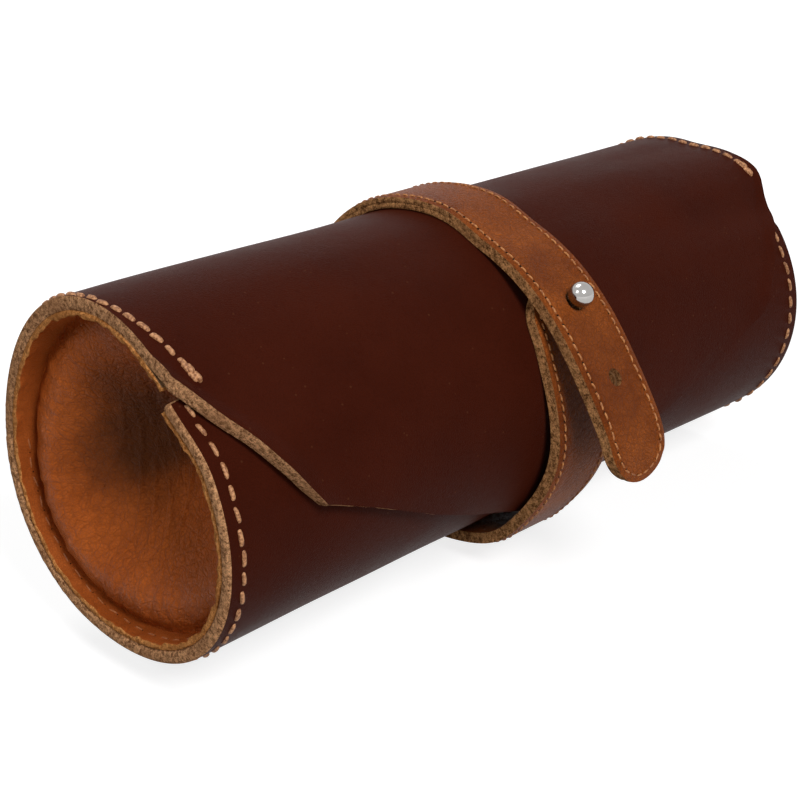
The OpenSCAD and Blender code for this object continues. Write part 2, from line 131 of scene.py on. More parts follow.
def sheet_mesh(name, place, flat, columns, rows, thickness, materials, rim_rows=6, rounding=0.32,
               ragged=0.10, plain=()):
    """A closed sheet of leather: a grid of columns and rows with real thickness and a worn, rounded rim.

    place(u, t, depth) gives a point, flat(u, t) its place on the flat hide. materials are the face,
    the back and the cut edge. plain names the ends, "start" or "end", that butt against another piece.
    """
    grid_u, grid_t = np.meshgrid(np.asarray(columns, float), np.asarray(rows, float), indexing="ij")
    nu, nt = grid_u.shape
    face = place(grid_u, grid_t, 0.0)
    back = place(grid_u, grid_t, thickness)
    hide = flat(grid_u, grid_t)
    loop = (
        [(i, 0) for i in range(nu)] + [(nu - 1, j) for j in range(1, nt)]
        + [(i, nt - 1) for i in range(nu - 2, -1, -1)] + [(0, j) for j in range(nt - 2, 0, -1)]
    )
    li = np.array([p[0] for p in loop])
    lj = np.array([p[1] for p in loop])
    inward_i = np.clip(li, 1, nu - 2)
    inward_j = np.clip(lj, 1, nt - 2)
    middle = place(grid_u[li, lj], grid_t[li, lj], thickness / 2)
    inner = place(grid_u[inward_i, inward_j], grid_t[inward_i, inward_j], thickness / 2)
    out = middle - inner
    out /= np.maximum(np.linalg.norm(out, axis=1, keepdims=True), 1e-9)
    keep = np.ones(len(loop))
    if "start" in plain:
        keep[lj == 0] = 0
    if "end" in plain:
        keep[lj == nt - 1] = 0
    rims = []
    for m in range(1, rim_rows):
        q = m / rim_rows
        p = place(grid_u[li, lj], grid_t[li, lj], thickness * q)
        bulge = rounding * (1 - (2 * q - 1) ** 4)
        rough = np.array([noise.noise(Vector(v) * 900.0) + 0.6 * noise.noise(Vector(v) * 2600.0) for v in p])
        rims.append(p + out * ((bulge + ragged * rough) * keep / 1000)[:, None])
    verts = np.concatenate([face.reshape(-1, 3), back.reshape(-1, 3)] + rims)
    uvs = np.concatenate([hide.reshape(-1, 2)] * 2 + [hide[li, lj]] * (rim_rows - 1))
    index = np.arange(nu * nt).reshape(nu, nt)
    quads = np.stack([index[:-1, :-1], index[1:, :-1], index[1:, 1:], index[:-1, 1:]], -1).reshape(-1, 4)
    faces = [quads, quads[:, ::-1] + nu * nt]
    kinds = [np.zeros(len(quads), int), np.ones(len(quads), int)]
    ring = [index[li, lj]] + [2 * nu * nt + m * len(loop) + np.arange(len(loop)) for m in range(rim_rows - 1)]
    ring.append(index[li, lj] + nu * nt)
    for upper, lower in zip(ring[:-1], ring[1:]):
        faces.append(np.stack([upper, lower, np.roll(lower, -1), np.roll(upper, -1)], -1))
        kinds.append(np.full(len(loop), 2))
    faces = np.concatenate(faces)
    mesh = bpy.data.meshes.new(name)
    mesh.from_pydata(verts.tolist(), [], faces.tolist())
    for m in materials:
        mesh.materials.append(m)
    mesh.polygons.foreach_set("material_index", np.concatenate(kinds).astype(np.int32))
    lay_hide(mesh, uvs)
    return finish_piece(name, mesh)


def lay_hide(mesh, places):
    """Gives each corner of a mesh its vertex's place on the flat hide."""
    corners = np.empty(len(mesh.loops), dtype=np.int32)
    mesh.loops.foreach_get("vertex_index", corners)
    layer = mesh.uv_layers.new(name="hide")
    layer.data.foreach_set("uv", places[corners].astype(np.float32).ravel())


def finish_piece(name, mesh, shade_angle=50.0):
    """Turns a mesh's faces outwards, shades it smooth and puts it in the scene."""
    work = bmesh.new()
    work.from_mesh(mesh)
    bmesh.ops.recalc_face_normals(work, faces=work.faces)
    work.to_mesh(mesh)
    work.free()
    mesh.polygons.foreach_set("use_smooth", np.ones(len(mesh.polygons), dtype=bool))
    mesh.set_sharp_from_angle(angle=math.radians(shade_angle))
    piece = bpy.data.objects.new(name, mesh)
    bpy.context.scene.collection.objects.link(piece)
    return piece


class Finish:
    """A material under construction: one shader, and the nodes that feed it."""

    def __init__(self, name):
        self.material = bpy.data.materials.new(name)
        self.material.use_nodes = True
        self.tree = self.material.node_tree
        self.tree.nodes.clear()
        self.shader = self.tree.nodes.new("ShaderNodeBsdfPrincipled")
        self.output = self.tree.nodes.new("ShaderNodeOutputMaterial")
        self.tree.links.new(self.shader.outputs[0], self.output.inputs[0])

    def node(self, kind, inputs=None, **settings):
        return make_node(self.tree, kind, inputs, **settings)

    def place(self):
        """The object's own coordinates."""
        return self.node("ShaderNodeTexCoord").outputs["Object"]

    def grouped(self, group, place, **values):
        """A node group laid out on coordinates."""
        node = self.node("ShaderNodeGroup", {}, node_tree=group)
        for label, value in {"Vector": place, **values}.items():
            plug(self.tree, value, node.inputs[label.replace("_", " ")])
        return node

    def feed(self, **values):
        """Links or sets the shader's own sockets."""
        for label, value in values.items():
            plug(self.tree, value, self.shader.inputs[label.replace("_", " ")])

    def emboss(self, height, strength, distance):
        relief = self.node("ShaderNodeBump", {"Strength": strength, "Distance": distance, "Height": height})
        self.feed(Normal=relief)


def plug(tree, value, socket):
    """Links a socket or a node's first output, or sets a constant."""
    if isinstance(value, bpy.types.Node):
        value = value.outputs[0]
    if isinstance(value, bpy.types.NodeSocket):
        tree.links.new(value, socket)
    else:
        socket.default_value = value


def make_node(tree, kind, inputs=None, **settings):
    node = tree.nodes.new(kind)
    for key, value in settings.items():
        setattr(node, key, value)
    for key, value in (inputs or {}).items():
        plug(tree, value, node.inputs[key])
    return node


def reckon(tree, operation, *values):
    """A math node."""
    return make_node(tree, "ShaderNodeMath", dict(enumerate(values)), operation=operation)


def remap(tree, value, low, high, at_low, at_high, **settings):
    """A map range node."""
    ends = dict(enumerate((value, low, high, at_low, at_high)))
    return make_node(tree, "ShaderNodeMapRange", ends, **settings)


def blend_colours(tree, mask, first, second):
    """A colour that goes from first to second as the mask goes from 0 to 1."""
    node = make_node(tree, "ShaderNodeMix", {0: mask}, data_type="RGBA")
    for socket, value in ((node.inputs[6], first), (node.inputs[7], second)):
        plug(tree, value if isinstance(value, bpy.types.NodeSocket) else (*value, 1.0), socket)
    return node.outputs[2]


def new_group(name, inputs, outputs):
    """A shader node group with named sockets."""
    group = bpy.data.node_groups.new(name, "ShaderNodeTree")
    for label, kind, value in inputs:
        socket = group.interface.new_socket(name=label, in_out="INPUT", socket_type=kind)
        if value is not None:
            socket.default_value = value
    for label, kind in outputs:
        group.interface.new_socket(name=label, in_out="OUTPUT", socket_type=kind)
    entry = group.nodes.new("NodeGroupInput")
    leave = group.nodes.new("NodeGroupOutput")
    return group, entry, leave


def build_hide_grain():
    """Fine pores, a net of creases and cloudy dye of a tanned hide."""
    group, entry, leave = new_group(
        "hide_grain",
        [("Vector", "NodeSocketVector", None), ("Pore Size", "NodeSocketFloat", 0.0008),
         ("Crease Size", "NodeSocketFloat", 0.006), ("Crease Depth", "NodeSocketFloat", 0.3)],
        [("Height", "NodeSocketFloat"), ("Pores", "NodeSocketFloat"), ("Creases", "NodeSocketFloat"),
         ("Cloud", "NodeSocketFloat"), ("Specks", "NodeSocketFloat")],
    )
    at = entry.outputs["Vector"]

    def node(kind, inputs=None, **settings):
        return make_node(group, kind, inputs, **settings)

    def warped(scale, amount):
        bent = node("ShaderNodeTexNoise", {"Vector": at, "Scale": scale, "Detail": 2.0})
        middle = node("ShaderNodeVectorMath", {0: bent.outputs["Color"], 1: (0.5, 0.5, 0.5)},
                      operation="SUBTRACT")
        wobble = node("ShaderNodeVectorMath", {0: middle, 1: (amount, amount, amount)}, operation="MULTIPLY")
        return node("ShaderNodeVectorMath", {0: at, 1: wobble}, operation="ADD")

    pore_scale = reckon(group, "DIVIDE", 1.0, entry.outputs["Pore Size"])
    crease_scale = reckon(group, "DIVIDE", 1.0, entry.outputs["Crease Size"])
    pores = node("ShaderNodeTexVoronoi", {"Vector": warped(420.0, 0.0009), "Scale": pore_scale},
                 feature="DISTANCE_TO_EDGE")
    pore_lines = remap(group, pores.outputs["Distance"], 0.0, 0.16, 0.0, 1.0)
    net = node("ShaderNodeTexVoronoi", {"Vector": warped(140.0, 0.006), "Scale": crease_scale},
               feature="DISTANCE_TO_EDGE")
    valleys = remap(group, net.outputs["Distance"], 0.0, 0.22, 0.0, 1.0, interpolation_type="SMOOTHSTEP")
    swell = node("ShaderNodeTexNoise",
                 {"Vector": at, "Scale": crease_scale, "Detail": 6.0, "Roughness": 0.62})
    deep = reckon(group, "MULTIPLY", valleys, entry.outputs["Crease Depth"])
    height = reckon(group, "ADD", reckon(group, "MULTIPLY_ADD", pore_lines, 0.5, swell), deep)
    cloud = node("ShaderNodeTexNoise", {"Vector": at, "Scale": 38.0, "Detail": 6.0, "Roughness": 0.6})
    dots = node("ShaderNodeTexVoronoi", {"Vector": at, "Scale": 260.0, "Randomness": 1.0})
    specks = remap(group, dots.outputs["Distance"], 0.085, 0.05, 0.0, 1.0)
    for source, label in ((height, "Height"), (pore_lines, "Pores"), (valleys, "Creases"), (cloud, "Cloud"),
                          (specks, "Specks")):
        group.links.new(source.outputs[0], leave.inputs[label])
    return group


def build_cut_fibres():
    """The rough, hairy look of a cut leather edge or of the flesh side."""
    group, entry, leave = new_group(
        "cut_fibres", [("Vector", "NodeSocketVector", None), ("Fibre Size", "NodeSocketFloat", 0.0006)],
        [("Height", "NodeSocketFloat"), ("Fibres", "NodeSocketFloat"), ("Stains", "NodeSocketFloat")],
    )
    at = entry.outputs["Vector"]
    scale = reckon(group, "DIVIDE", 1.0, entry.outputs["Fibre Size"])
    fine = make_node(group, "ShaderNodeTexNoise",
                     {"Vector": at, "Scale": scale, "Detail": 5.0, "Roughness": 0.7, "Distortion": 0.8})
    clumps = make_node(group, "ShaderNodeTexNoise",
                       {"Vector": at, "Scale": 900.0, "Detail": 4.0, "Roughness": 0.65})
    stains = make_node(group, "ShaderNodeTexNoise", {"Vector": at, "Scale": 90.0, "Detail": 3.0})
    height = reckon(group, "ADD", fine, clumps)
    spread = remap(group, height, 0.84, 1.16, 0.0, 1.0)
    for source, label in ((height, "Height"), (spread, "Fibres"), (stains, "Stains")):
        group.links.new(source.outputs[0], leave.inputs[label])
    return group


hide_grain = build_hide_grain()
cut_fibres = build_cut_fibres()


def hide_face(name, dark, light, roughness, pore, crease, bump, gloss=0.1, depth=0.2, tint=(1.0, 0.6, 0.4),
              speck=None, dish_shade=None):
    """The dyed, smooth side of a hide, on its own flat coordinates. Its gloss takes on the dye."""
    f = Finish(name)
    on_hide = f.node("ShaderNodeUVMap", uv_map="hide")
    grain = f.grouped(hide_grain, on_hide, Pore_Size=pore, Crease_Size=crease, Crease_Depth=depth)
    cloud = grain.outputs["Cloud"]
    colour = blend_colours(f.tree, remap(f.tree, cloud, 0.34, 0.66, 0.0, 1.0), dark, light)
    # Pores and creases are blended towards a darker copy of the dye: painted shade in the hollows of the
    # grain.
    shade = tuple(0.55 * c for c in dark)
    colour = blend_colours(f.tree, remap(f.tree, grain.outputs["Pores"], 0.0, 1.0, 0.35, 0.0), colour, shade)
    in_creases = remap(f.tree, grain.outputs["Creases"], 0.0, 0.6, 0.5 * depth, 0.0)
    colour = blend_colours(f.tree, in_creases, colour, shade)
    if speck:
        faint = reckon(f.tree, "MULTIPLY", grain.outputs["Specks"], 0.5)
        colour = blend_colours(f.tree, faint, colour, speck)
    # Painted shade: the colour is drawn towards a dark colour round a point on the hide, for the shadow that
    # falls in a cushion's dish.
    if dish_shade:
        middle, reach, tone = dish_shade
        away = f.node("ShaderNodeVectorMath", {0: on_hide, 1: (*middle, 0.0)}, operation="DISTANCE")
        wander = remap(f.tree, cloud, 0.3, 0.7, -0.2, 0.2)
        share = reckon(f.tree, "MULTIPLY_ADD", away.outputs["Value"], 1.0 / reach, wander)
        darker = remap(f.tree, share, 0.2, 1.0, 0.9, 0.0, interpolation_type="SMOOTHSTEP")
        colour = blend_colours(f.tree, darker, colour, tone)
    f.feed(Base_Color=colour, Roughness=remap(f.tree, cloud, 0.3, 0.7, roughness - 0.06, roughness + 0.06))
    f.feed(Specular_IOR_Level=gloss, Specular_Tint=(*tint, 1.0))
    f.emboss(grain.outputs["Height"], bump, 0.0004)
    return f.material


def rough_cut(name, dark, light, stain, fibre=0.0004, bump=0.9):
    """A cut edge or the flesh side of a hide."""
    f = Finish(name)
    fibres = f.grouped(cut_fibres, f.place(), Fibre_Size=fibre)
    colour = blend_colours(f.tree, fibres.outputs["Fibres"], dark, light)
    patches = remap(f.tree, fibres.outputs["Stains"], 0.5, 0.75, 0.0, 0.5)
    f.feed(Base_Color=blend_colours(f.tree, patches, colour, stain), Roughness=0.88, Specular_IOR_Level=0.05)
    f.emboss(fibres.outputs["Height"], bump, 0.0005)
    return f.material


oxblood_face = hide_face("oxblood_face", (0.041, 0.0068, 0.0030), (0.052, 0.0092, 0.0042), 0.44,
                         0.00055, 0.004, 0.34, gloss=0.02, depth=0.06, tint=(1.0, 0.42, 0.24),
                         speck=(0.10, 0.035, 0.016))
oxblood_back = rough_cut("oxblood_back", (0.10, 0.05, 0.026), (0.20, 0.11, 0.06), (0.12, 0.055, 0.03))
oxblood_cut = rough_cut("oxblood_cut", (0.15, 0.058, 0.022), (0.80, 0.42, 0.20), (0.30, 0.13, 0.055))
oxblood = (oxblood_face, oxblood_back, oxblood_cut)


def hide_map(x, angle):
    """Where a point of the rolled sheet lies on the flat hide, in metres."""
    return np.stack([x / 1000, np.radians(angle) * roll_radius / 1000], -1)


def body_edge_angle(x):
    """The cover body's front edge, cut back a little beside each rim."""
    return 360.0 + front_edge_angle - 2.0 * smooth((np.abs(x) - 99.0) / 8.5)


def body_angle(x, t):
    return fold_angle + (body_edge_angle(x) - fold_angle) * t


at_rim = half_length - np.array([1.0, 0.4, 0.0])
between_rims = np.linspace(2.0 - half_length, half_length - 2.0, 106)
rim_columns = np.unique(np.concatenate([-at_rim, between_rims, at_rim]))
body_rows = np.concatenate([np.linspace(0, 0.98, 140), [0.985, 0.99, 0.994, 0.997, 1.0]])
cover_wall = sheet_mesh(
    "cover_wall",
    lambda x, t, d: round_roll(x, cover_radius(x, body_angle(x, t)) - d, body_angle(x, t)),
    lambda x, t: hide_map(x, body_angle(x, t)),
    rim_columns, body_rows, cover_thickness, oxblood, plain=("start",), rounding=0.6,
)
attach(cover_wall, "roll_body")
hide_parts("cover_body")


# Flap: the upper third of the same sheet. It folds at the back, runs over the top, narrows
# from the rims to two corners and ends in a wide point under the strap. Its edges are raw.
flap_view_angle = 5.0
climb_start = front_edge_angle + 2.0
climb_end = 100.0
flap_outline = ((-107.5, 30.4), (-83.0, -1.0), (-66.0, -8.0), (-46.0, -17.4), (-31.0, -23.4), (0.0, -35.0),
                (31.0, -23.4), (46.0, -17.4), (66.0, -7.6), (85.0, 0.8), (88.5, 4.2), (91.0, 7.7),
                (93.2, 11.0), (95.2, 14.6), (97.6, 18.2), (100.0, 21.4), (103.0, 24.4), (105.0, 27.6),
                (106.2, 31.5), (107.5, 36.0))


def lid_swell(x, angle):
    """The lid stands slightly proud over the middle of the roll."""
    on_top = smooth((angle - 62.0) / 18.0) * smooth((150.0 - angle) / 40.0)
    return 0.9 * on_top * (1 - (np.abs(x) / half_length) ** 2)


def lid_radius(x, angle):
    """Outer radius of the lid: it climbs from the back over the tucked front edge."""
    a = np.asarray(angle, float)
    x = np.asarray(x, float)
    tucked = cover_radius(x, np.minimum(a, front_edge_angle)) + layer_gap + cover_thickness
    step = cover_radius(x, front_edge_angle + 0 * a) + layer_gap + cover_thickness

    def base(angles):
        return toward_rims(x, roll_radius + 0 * angles, rim_radius(angles, left_rim_waves),
                           rim_radius(angles, right_rim_waves)) + dents(x, angles)

    flare = 4.4 * smooth((88.0 - a) / 30.0) * smooth((a - 38.0) / 18.0) * smooth((x - 40.0) / 67.5)
    rest = base(a) + lid_swell(x, a) + flare
    climb = (step - base(climb_start + 0 * a)) * smooth((climb_end - a) / (climb_end - climb_start))
    return np.where(a < climb_start, tucked + flare, rest + climb)


def flap_edge_angle(x):
    """Angle at which the flap ends, at a distance along the roll."""
    x = np.asarray(x, float)
    height = np.interp(x, [p[0] for p in flap_outline], [p[1] for p in flap_outline])
    angle = np.full(x.shape, 10.0)
    for _ in range(12):
        ratio = np.clip(height / lid_radius(x, angle), -0.95, 0.95)
        angle = 0.4 * angle + 0.6 * (flap_view_angle + np.degrees(np.arcsin(ratio)))
    return angle


def lid_angle(x, t):
    return fold_angle + (flap_edge_angle(x) - fold_angle) * t


def mirrored(values):
    """The same distances on both sides of the middle."""
    values = np.asarray(values, float)
    return np.unique(np.concatenate([-values, values]))


at_flap_rim = half_length - np.array([0.8, 0.4, 0.0])
lid_columns = mirrored(np.concatenate([np.linspace(0, 82, 42), np.linspace(83, 106.2, 30), at_flap_rim]))
lid_rows = np.concatenate([np.linspace(0, 0.97, 130), np.linspace(0.975, 1.0, 7)])


def flap_place(x, t, depth):
    """Along its taper the flap is thicker, stands off the roll and bends in and out a little."""
    a = lid_angle(x, t)
    from_edge = np.radians(a - flap_edge_angle(x)) * roll_radius
    near_rim = smooth((np.abs(x) - 76.0) / 12.0)
    taper = smooth(1 - from_edge / 9.0) * near_rim
    slope = smooth(1 - from_edge / 5.0) * (1 - near_rim)
    lift = taper * (2.0 + 0.25 * np.sin(x / 2.6) + 0.15 * np.sin(x / 1.1 + 2.0)) * np.where(x > 0, 0.35, 1.0)
    lift = lift + 0.15 * slope * np.sin(x / 6.0 + 1.0)
    slanted_cut = np.degrees(1.2 * depth / cover_thickness * taper / roll_radius)
    return round_roll(x, lid_radius(x, a) + lift - depth * (1 + 0.22 * taper), a - slanted_cut)


flap_piece = sheet_mesh(
    "flap_leather", flap_place, lambda x, t: hide_map(x, lid_angle(x, t)),
    lid_columns, lid_rows, cover_thickness, oxblood, plain=("start",), ragged=0.26,
)
fold_start = (0.0, axis_y + 0.0325, axis_z)
fold_end = (0.0, axis_y + 0.0255, axis_z)
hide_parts("flap")
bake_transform(flap_piece)


# Lining: thin soft tan leather glued to the inside of the cover. Its cut edge shows as a
# light line inside the dark rim. The lid's own lining stops short of the flap.
lining_thickness = 1.3
lining_depth = cover_thickness + 0.05
lid_lining_end = 54.0

tan_face = hide_face("tan_lining_face", (0.30, 0.066, 0.0115), (0.42, 0.104, 0.021), 0.4, 0.0007, 0.003, 0.45,
                     gloss=0.1, depth=0.3)
tan_back = rough_cut("tan_lining_back", (0.20, 0.10, 0.045), (0.34, 0.19, 0.09), (0.22, 0.11, 0.05))
tan_cut = rough_cut("tan_lining_cut", (0.30, 0.10, 0.022), (0.78, 0.34, 0.105), (0.30, 0.10, 0.024))
tan = (tan_back, tan_face, tan_cut)


def lining_of(radius_at, angle_at):
    """The lining lies under the cover, and its inner edge at the rims is cut unevenly."""
    def place(x, t, d):
        a = angle_at(x, t)
        turn = np.radians(a)
        uneven = 0.30 * np.sin(23 * turn + 1.0) + 0.22 * np.sin(41 * turn + 2.0) + 0.20 * np.sin(67 * turn)
        uneven = (uneven + 0.25) * smooth((np.abs(x) - 105.0) / 2.5)
        return round_roll(x, radius_at(x, a) - lining_depth - d * (1 + 0.6 * uneven), a)
    return place


body_lining = sheet_mesh(
    "body_lining", lining_of(cover_radius, body_angle), lambda x, t: hide_map(x, body_angle(x, t)),
    rim_columns, body_rows, lining_thickness, tan, rim_rows=4, rounding=0.30, ragged=0.38, plain=("start",),
)
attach(body_lining, "roll_body")
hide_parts("cover_body_lining")


def lid_lining_angle(x, t):
    return fold_angle + (lid_lining_end - fold_angle) * t


lid_lining = sheet_mesh(
    "lid_lining_leather", lining_of(lid_radius, lid_lining_angle),
    lambda x, t: hide_map(x, lid_lining_angle(x, t)),
    rim_columns, np.linspace(0, 1, 90), lining_thickness, tan, rim_rows=4, rounding=0.30,
    ragged=0.38, plain=("start",),
)
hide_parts("lid_lining")
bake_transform(lid_lining)


# End cushions: each end is closed by a soft disc of the tan leather over padding. Its edge
# is caught inside the lining, a crest runs round it at the back and below, and the rest
# sinks like a dish, deepest towards the front and top, where the leather lies in wrinkles.
cushion_edge_x = 99.5
cushion_sink = 15.0
cushion_depth = 16.0
cushion_reach = 38.0
toward_front_top = math.radians(40)


def ridged(y, z, seed):
    """Sharp-crested noise, up to 1 on the crests."""
    values = [1 - abs(noise.noise(Vector((a, b, seed)))) * 2.2 for a, b in zip(y.ravel(), z.ravel())]
    return np.maximum(np.array(values), 0).reshape(y.shape)


def cushion_relief(t, angle):
    """How far the cushion's face stands out of its edge, in mm: crest, dish, gathers and wrinkles."""
    t, angle = np.broadcast_arrays(np.asarray(t, float), np.asarray(angle, float))
    a = np.radians(angle)
    inward = 0.5 - 0.5 * np.cos(a - toward_front_top)
    forward, up = t * np.cos(a), t * np.sin(a)
    edge = (5.9 * inward - 1.2) * smooth((t - 0.45) / 0.4)
    shoulder = (0.7 + 1.0 * inward) * smooth((t - 0.88) / 0.12) ** 1.5
    crest = 2.0 * inward * smooth(1 - np.abs(t - 0.76) / 0.22)
    dish = cushion_sink * smooth(1.10 - np.hypot(forward - 0.20, up - 0.16) / 0.82)
    y, z = forward * cushion_reach, up * cushion_reach
    bend = 2.4 * np.sin(z / 9.0 + 0.6) + 1.5 * np.sin(y / 7.0 + z / 15.0)
    in_dish = smooth((26 - np.abs(y - 2)) / 16) * smooth((0.80 - t) / 0.3)
    standing = ridged((y + bend) / 4.6, z / 19.0, 4.0) ** 3 * in_dish
    fine = ridged((y + bend) / 2.0, (z - bend) / 5.0, 9.0) ** 2 * smooth((0.97 - t) / 0.2)
    turn = a + 0.05 * np.sin(5 * a + 1.0) + 0.03 * np.sin(11 * a)
    gathers = 0.5 * np.sin(31 * turn + 3 * t) + 0.3 * np.sin(53 * turn - 4 * t)
    gathers = gathers + 0.35 * np.sin(17 * turn + 2.0)
    gathers = 0.30 * gathers * smooth((t - 0.55) / 0.25) * smooth((1.02 - t) / 0.05)
    return edge - shoulder + crest - dish + 0.45 * standing + 0.14 * fine + gathers


def closed_rings(name, rings, start, end, material, hide=None):
    """A closed skin over a stack of rings, with a point at each end."""
    rows, spokes = rings.shape[:2]
    index = np.arange(rows * spokes).reshape(rows, spokes)
    after = np.roll(index, -1, axis=1)
    faces = np.stack([index[:-1], index[1:], after[1:], after[:-1]], -1).reshape(-1, 4).tolist()
    first, last = rows * spokes, rows * spokes + 1
    faces += [[first, int(a), int(b)] for a, b in zip(index[0], after[0])]
    faces += [[last, int(b), int(a)] for a, b in zip(index[-1], after[-1])]
    mesh = bpy.data.meshes.new(name)
    mesh.from_pydata(np.concatenate([rings.reshape(-1, 3), [start, end]]).tolist(), [], faces)
    mesh.materials.append(material)
    if hide is not None:
        lay_hide(mesh, hide)
    return finish_piece(name, mesh, 60.0)


def end_cushion(name, side):
    """One padded end, closed at the back. side is -1 at the left and 1 at the right."""
    rings, spokes = 110, 300
    t = np.linspace(0.0, 1.0, rings)[1:]
    angle = np.arange(spokes) * 360.0 / spokes
    grid_t, grid_a = np.meshgrid(t, angle, indexing="ij")
    x_edge = side * cushion_edge_x
    under_lid = (grid_a > front_edge_angle) & (grid_a < 200.0)
    opening = np.where(under_lid, lid_radius(x_edge, grid_a), cover_radius(x_edge, grid_a))
    inner = opening - lining_depth - lining_thickness
    radius = grid_t * (inner + 0.15)
    x = side * (cushion_edge_x + cushion_relief(grid_t, grid_a))
    front = round_roll(x, radius, grid_a)
    centre = round_roll(side * (cushion_edge_x + cushion_relief(np.zeros(1), np.zeros(1))[0]), 0.0, 0.0)
    rear_profile = ((0.25, 1.0, 1.10), (0.75, 0.995, 1.30), (0.97, 0.98, 1.388), (1.0, 0.94, 1.40),
                    (1.0, 0.5, 1.48))
    rear = [round_roll(side * (cushion_edge_x - cushion_depth * depth), radius[-1] * spread, angle)
            for depth, spread, _ in rear_profile]
    rear_centre = round_roll(side * (cushion_edge_x - cushion_depth), 0.0, 0.0)
    rear_hide = [np.full(spokes, on_hide) for _, _, on_hide in rear_profile]
    out = np.concatenate([grid_t.ravel()] + rear_hide + [[0.0, 1.6]])
    turn = np.radians(np.concatenate([grid_a.ravel()] + [angle] * len(rear_profile) + [[0.0, 0.0]]))
    hide = cushion_reach / 1000 * np.stack([out * np.cos(turn), out * np.sin(turn)], -1)
    return closed_rings(name, np.concatenate([front, rear]), centre, rear_centre, cushion_leather, hide)


# The cushion's colour goes dark towards the middle of the dish, front and top: painted shade for the shadow
# of the rims in the dish.
cushion_leather = hide_face("cushion_leather", (0.34, 0.070, 0.0110), (0.50, 0.118, 0.021), 0.30,
                            0.0007, 0.0021, 0.6, gloss=0.14, depth=0.6, tint=(1.0, 0.50, 0.20),
                            dish_shade=((-0.008, 0.0055), 0.024, (0.050, 0.0115, 0.0032)))
for name, side, node in (("left_cushion", -1, "left_end_cushion"), ("right_cushion", 1, "right_end_cushion")):
    cushion = end_cushion(name, side)
    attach(cushion, "roll_body")
    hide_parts(node)


# Boards and dividers: a stiff fibre board stands behind each end cushion, and two
# leather-covered dividers part the inside into three bays. All are glued in.
board_fibre = rough_cut("board_fibre", (0.16, 0.10, 0.06), (0.28, 0.19, 0.12), (0.14, 0.09, 0.05),
                        fibre=0.0012, bump=0.5)


def on_solid(name, dark, light, roughness, bump):
    """Leather on a solid that keeps its own mesh: the grain follows the object's own coordinates."""
    f = Finish(name)
    grain = f.grouped(hide_grain, f.place())
    f.feed(Base_Color=blend_colours(f.tree, grain.outputs["Cloud"], dark, light), Roughness=roughness)
    f.emboss(grain.outputs["Height"], bump, 0.0003)
    return f.material


def refinish(node, material):
    """Gives a carried-over CAD node its material."""
    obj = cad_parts[node]
    obj.data.materials.clear()
    obj.data.materials.append(material)


divider_leather = on_solid("divider_leather", (0.27, 0.105, 0.03), (0.40, 0.17, 0.055), 0.5, 0.4)
for node in ("left_divider", "right_divider"):
    refinish(node, divider_leather)
for node in ("left_end_board", "right_end_board"):
    refinish(node, board_fibre)


# Pillows: each bay holds an oval foam pillow in a suede cover, for a watch to be strapped
# round. The cover is sewn shut at both ends, where it draws in.
def suede(name):
    """Brushed suede: a soft nap over slow shading."""
    f = Finish(name)
    fibres = f.grouped(cut_fibres, f.place(), Fibre_Size=0.0004)
    colour = blend_colours(f.tree, fibres.outputs["Fibres"], (0.20, 0.115, 0.06), (0.30, 0.185, 0.105))
    colour = blend_colours(f.tree, fibres.outputs["Stains"], colour, (0.23, 0.14, 0.078))
    f.feed(Base_Color=colour, Roughness=0.95, Sheen_Weight=0.1, Specular_IOR_Level=0.1)
    f.emboss(fibres.outputs["Height"], 0.35, 0.0002)
    return f.material


pillow_suede = suede("pillow_suede")


def pillow(name, node):
    """An oval, closed pillow that fills its node's box and draws in at the ends."""
    low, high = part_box(node)
    centre = (np.array(low) + np.array(high)) / 2
    half = (np.array(high) - np.array(low)) / 2
    rings, sides = 40, 72
    u = np.sin(np.linspace(-math.pi / 2, math.pi / 2, rings + 2)[1:-1])
    a = np.arange(sides) * 2 * math.pi / sides
    grid_u, grid_a = np.meshgrid(u, a, indexing="ij")
    swell = (1 - np.abs(grid_u) ** 7) ** 0.5 * (1 - 0.03 * grid_u ** 2)
    puckers = 1 + 0.012 * np.sin(13 * grid_a + 2 * grid_u) * np.abs(grid_u) ** 3
    x = centre[0] + half[0] * grid_u
    y = centre[1] + half[1] * swell * puckers * np.cos(grid_a)
    z = centre[2] + half[2] * swell * puckers * np.sin(grid_a)
    draw = 0.985 * half[0]
    start, end = (centre + np.array([reach, 0.0, 0.0]) for reach in (-draw, draw))
    return closed_rings(name, np.stack([x, y, z], -1), start, end, pillow_suede)


for name in ("left_pillow", "middle_pillow", "right_pillow"):
    piece = pillow(name, name + "_suede")
    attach(piece, "roll_body")
    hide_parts(name + "_suede", name + "_core")


# Rim stitching: a row of long saddle stitches in waxed orange-tan thread, 3.3 mm from each
# rim, through the cover and the lining. It ends in a doubled stitch beside the flap's taper.
rim_inset = 3.3


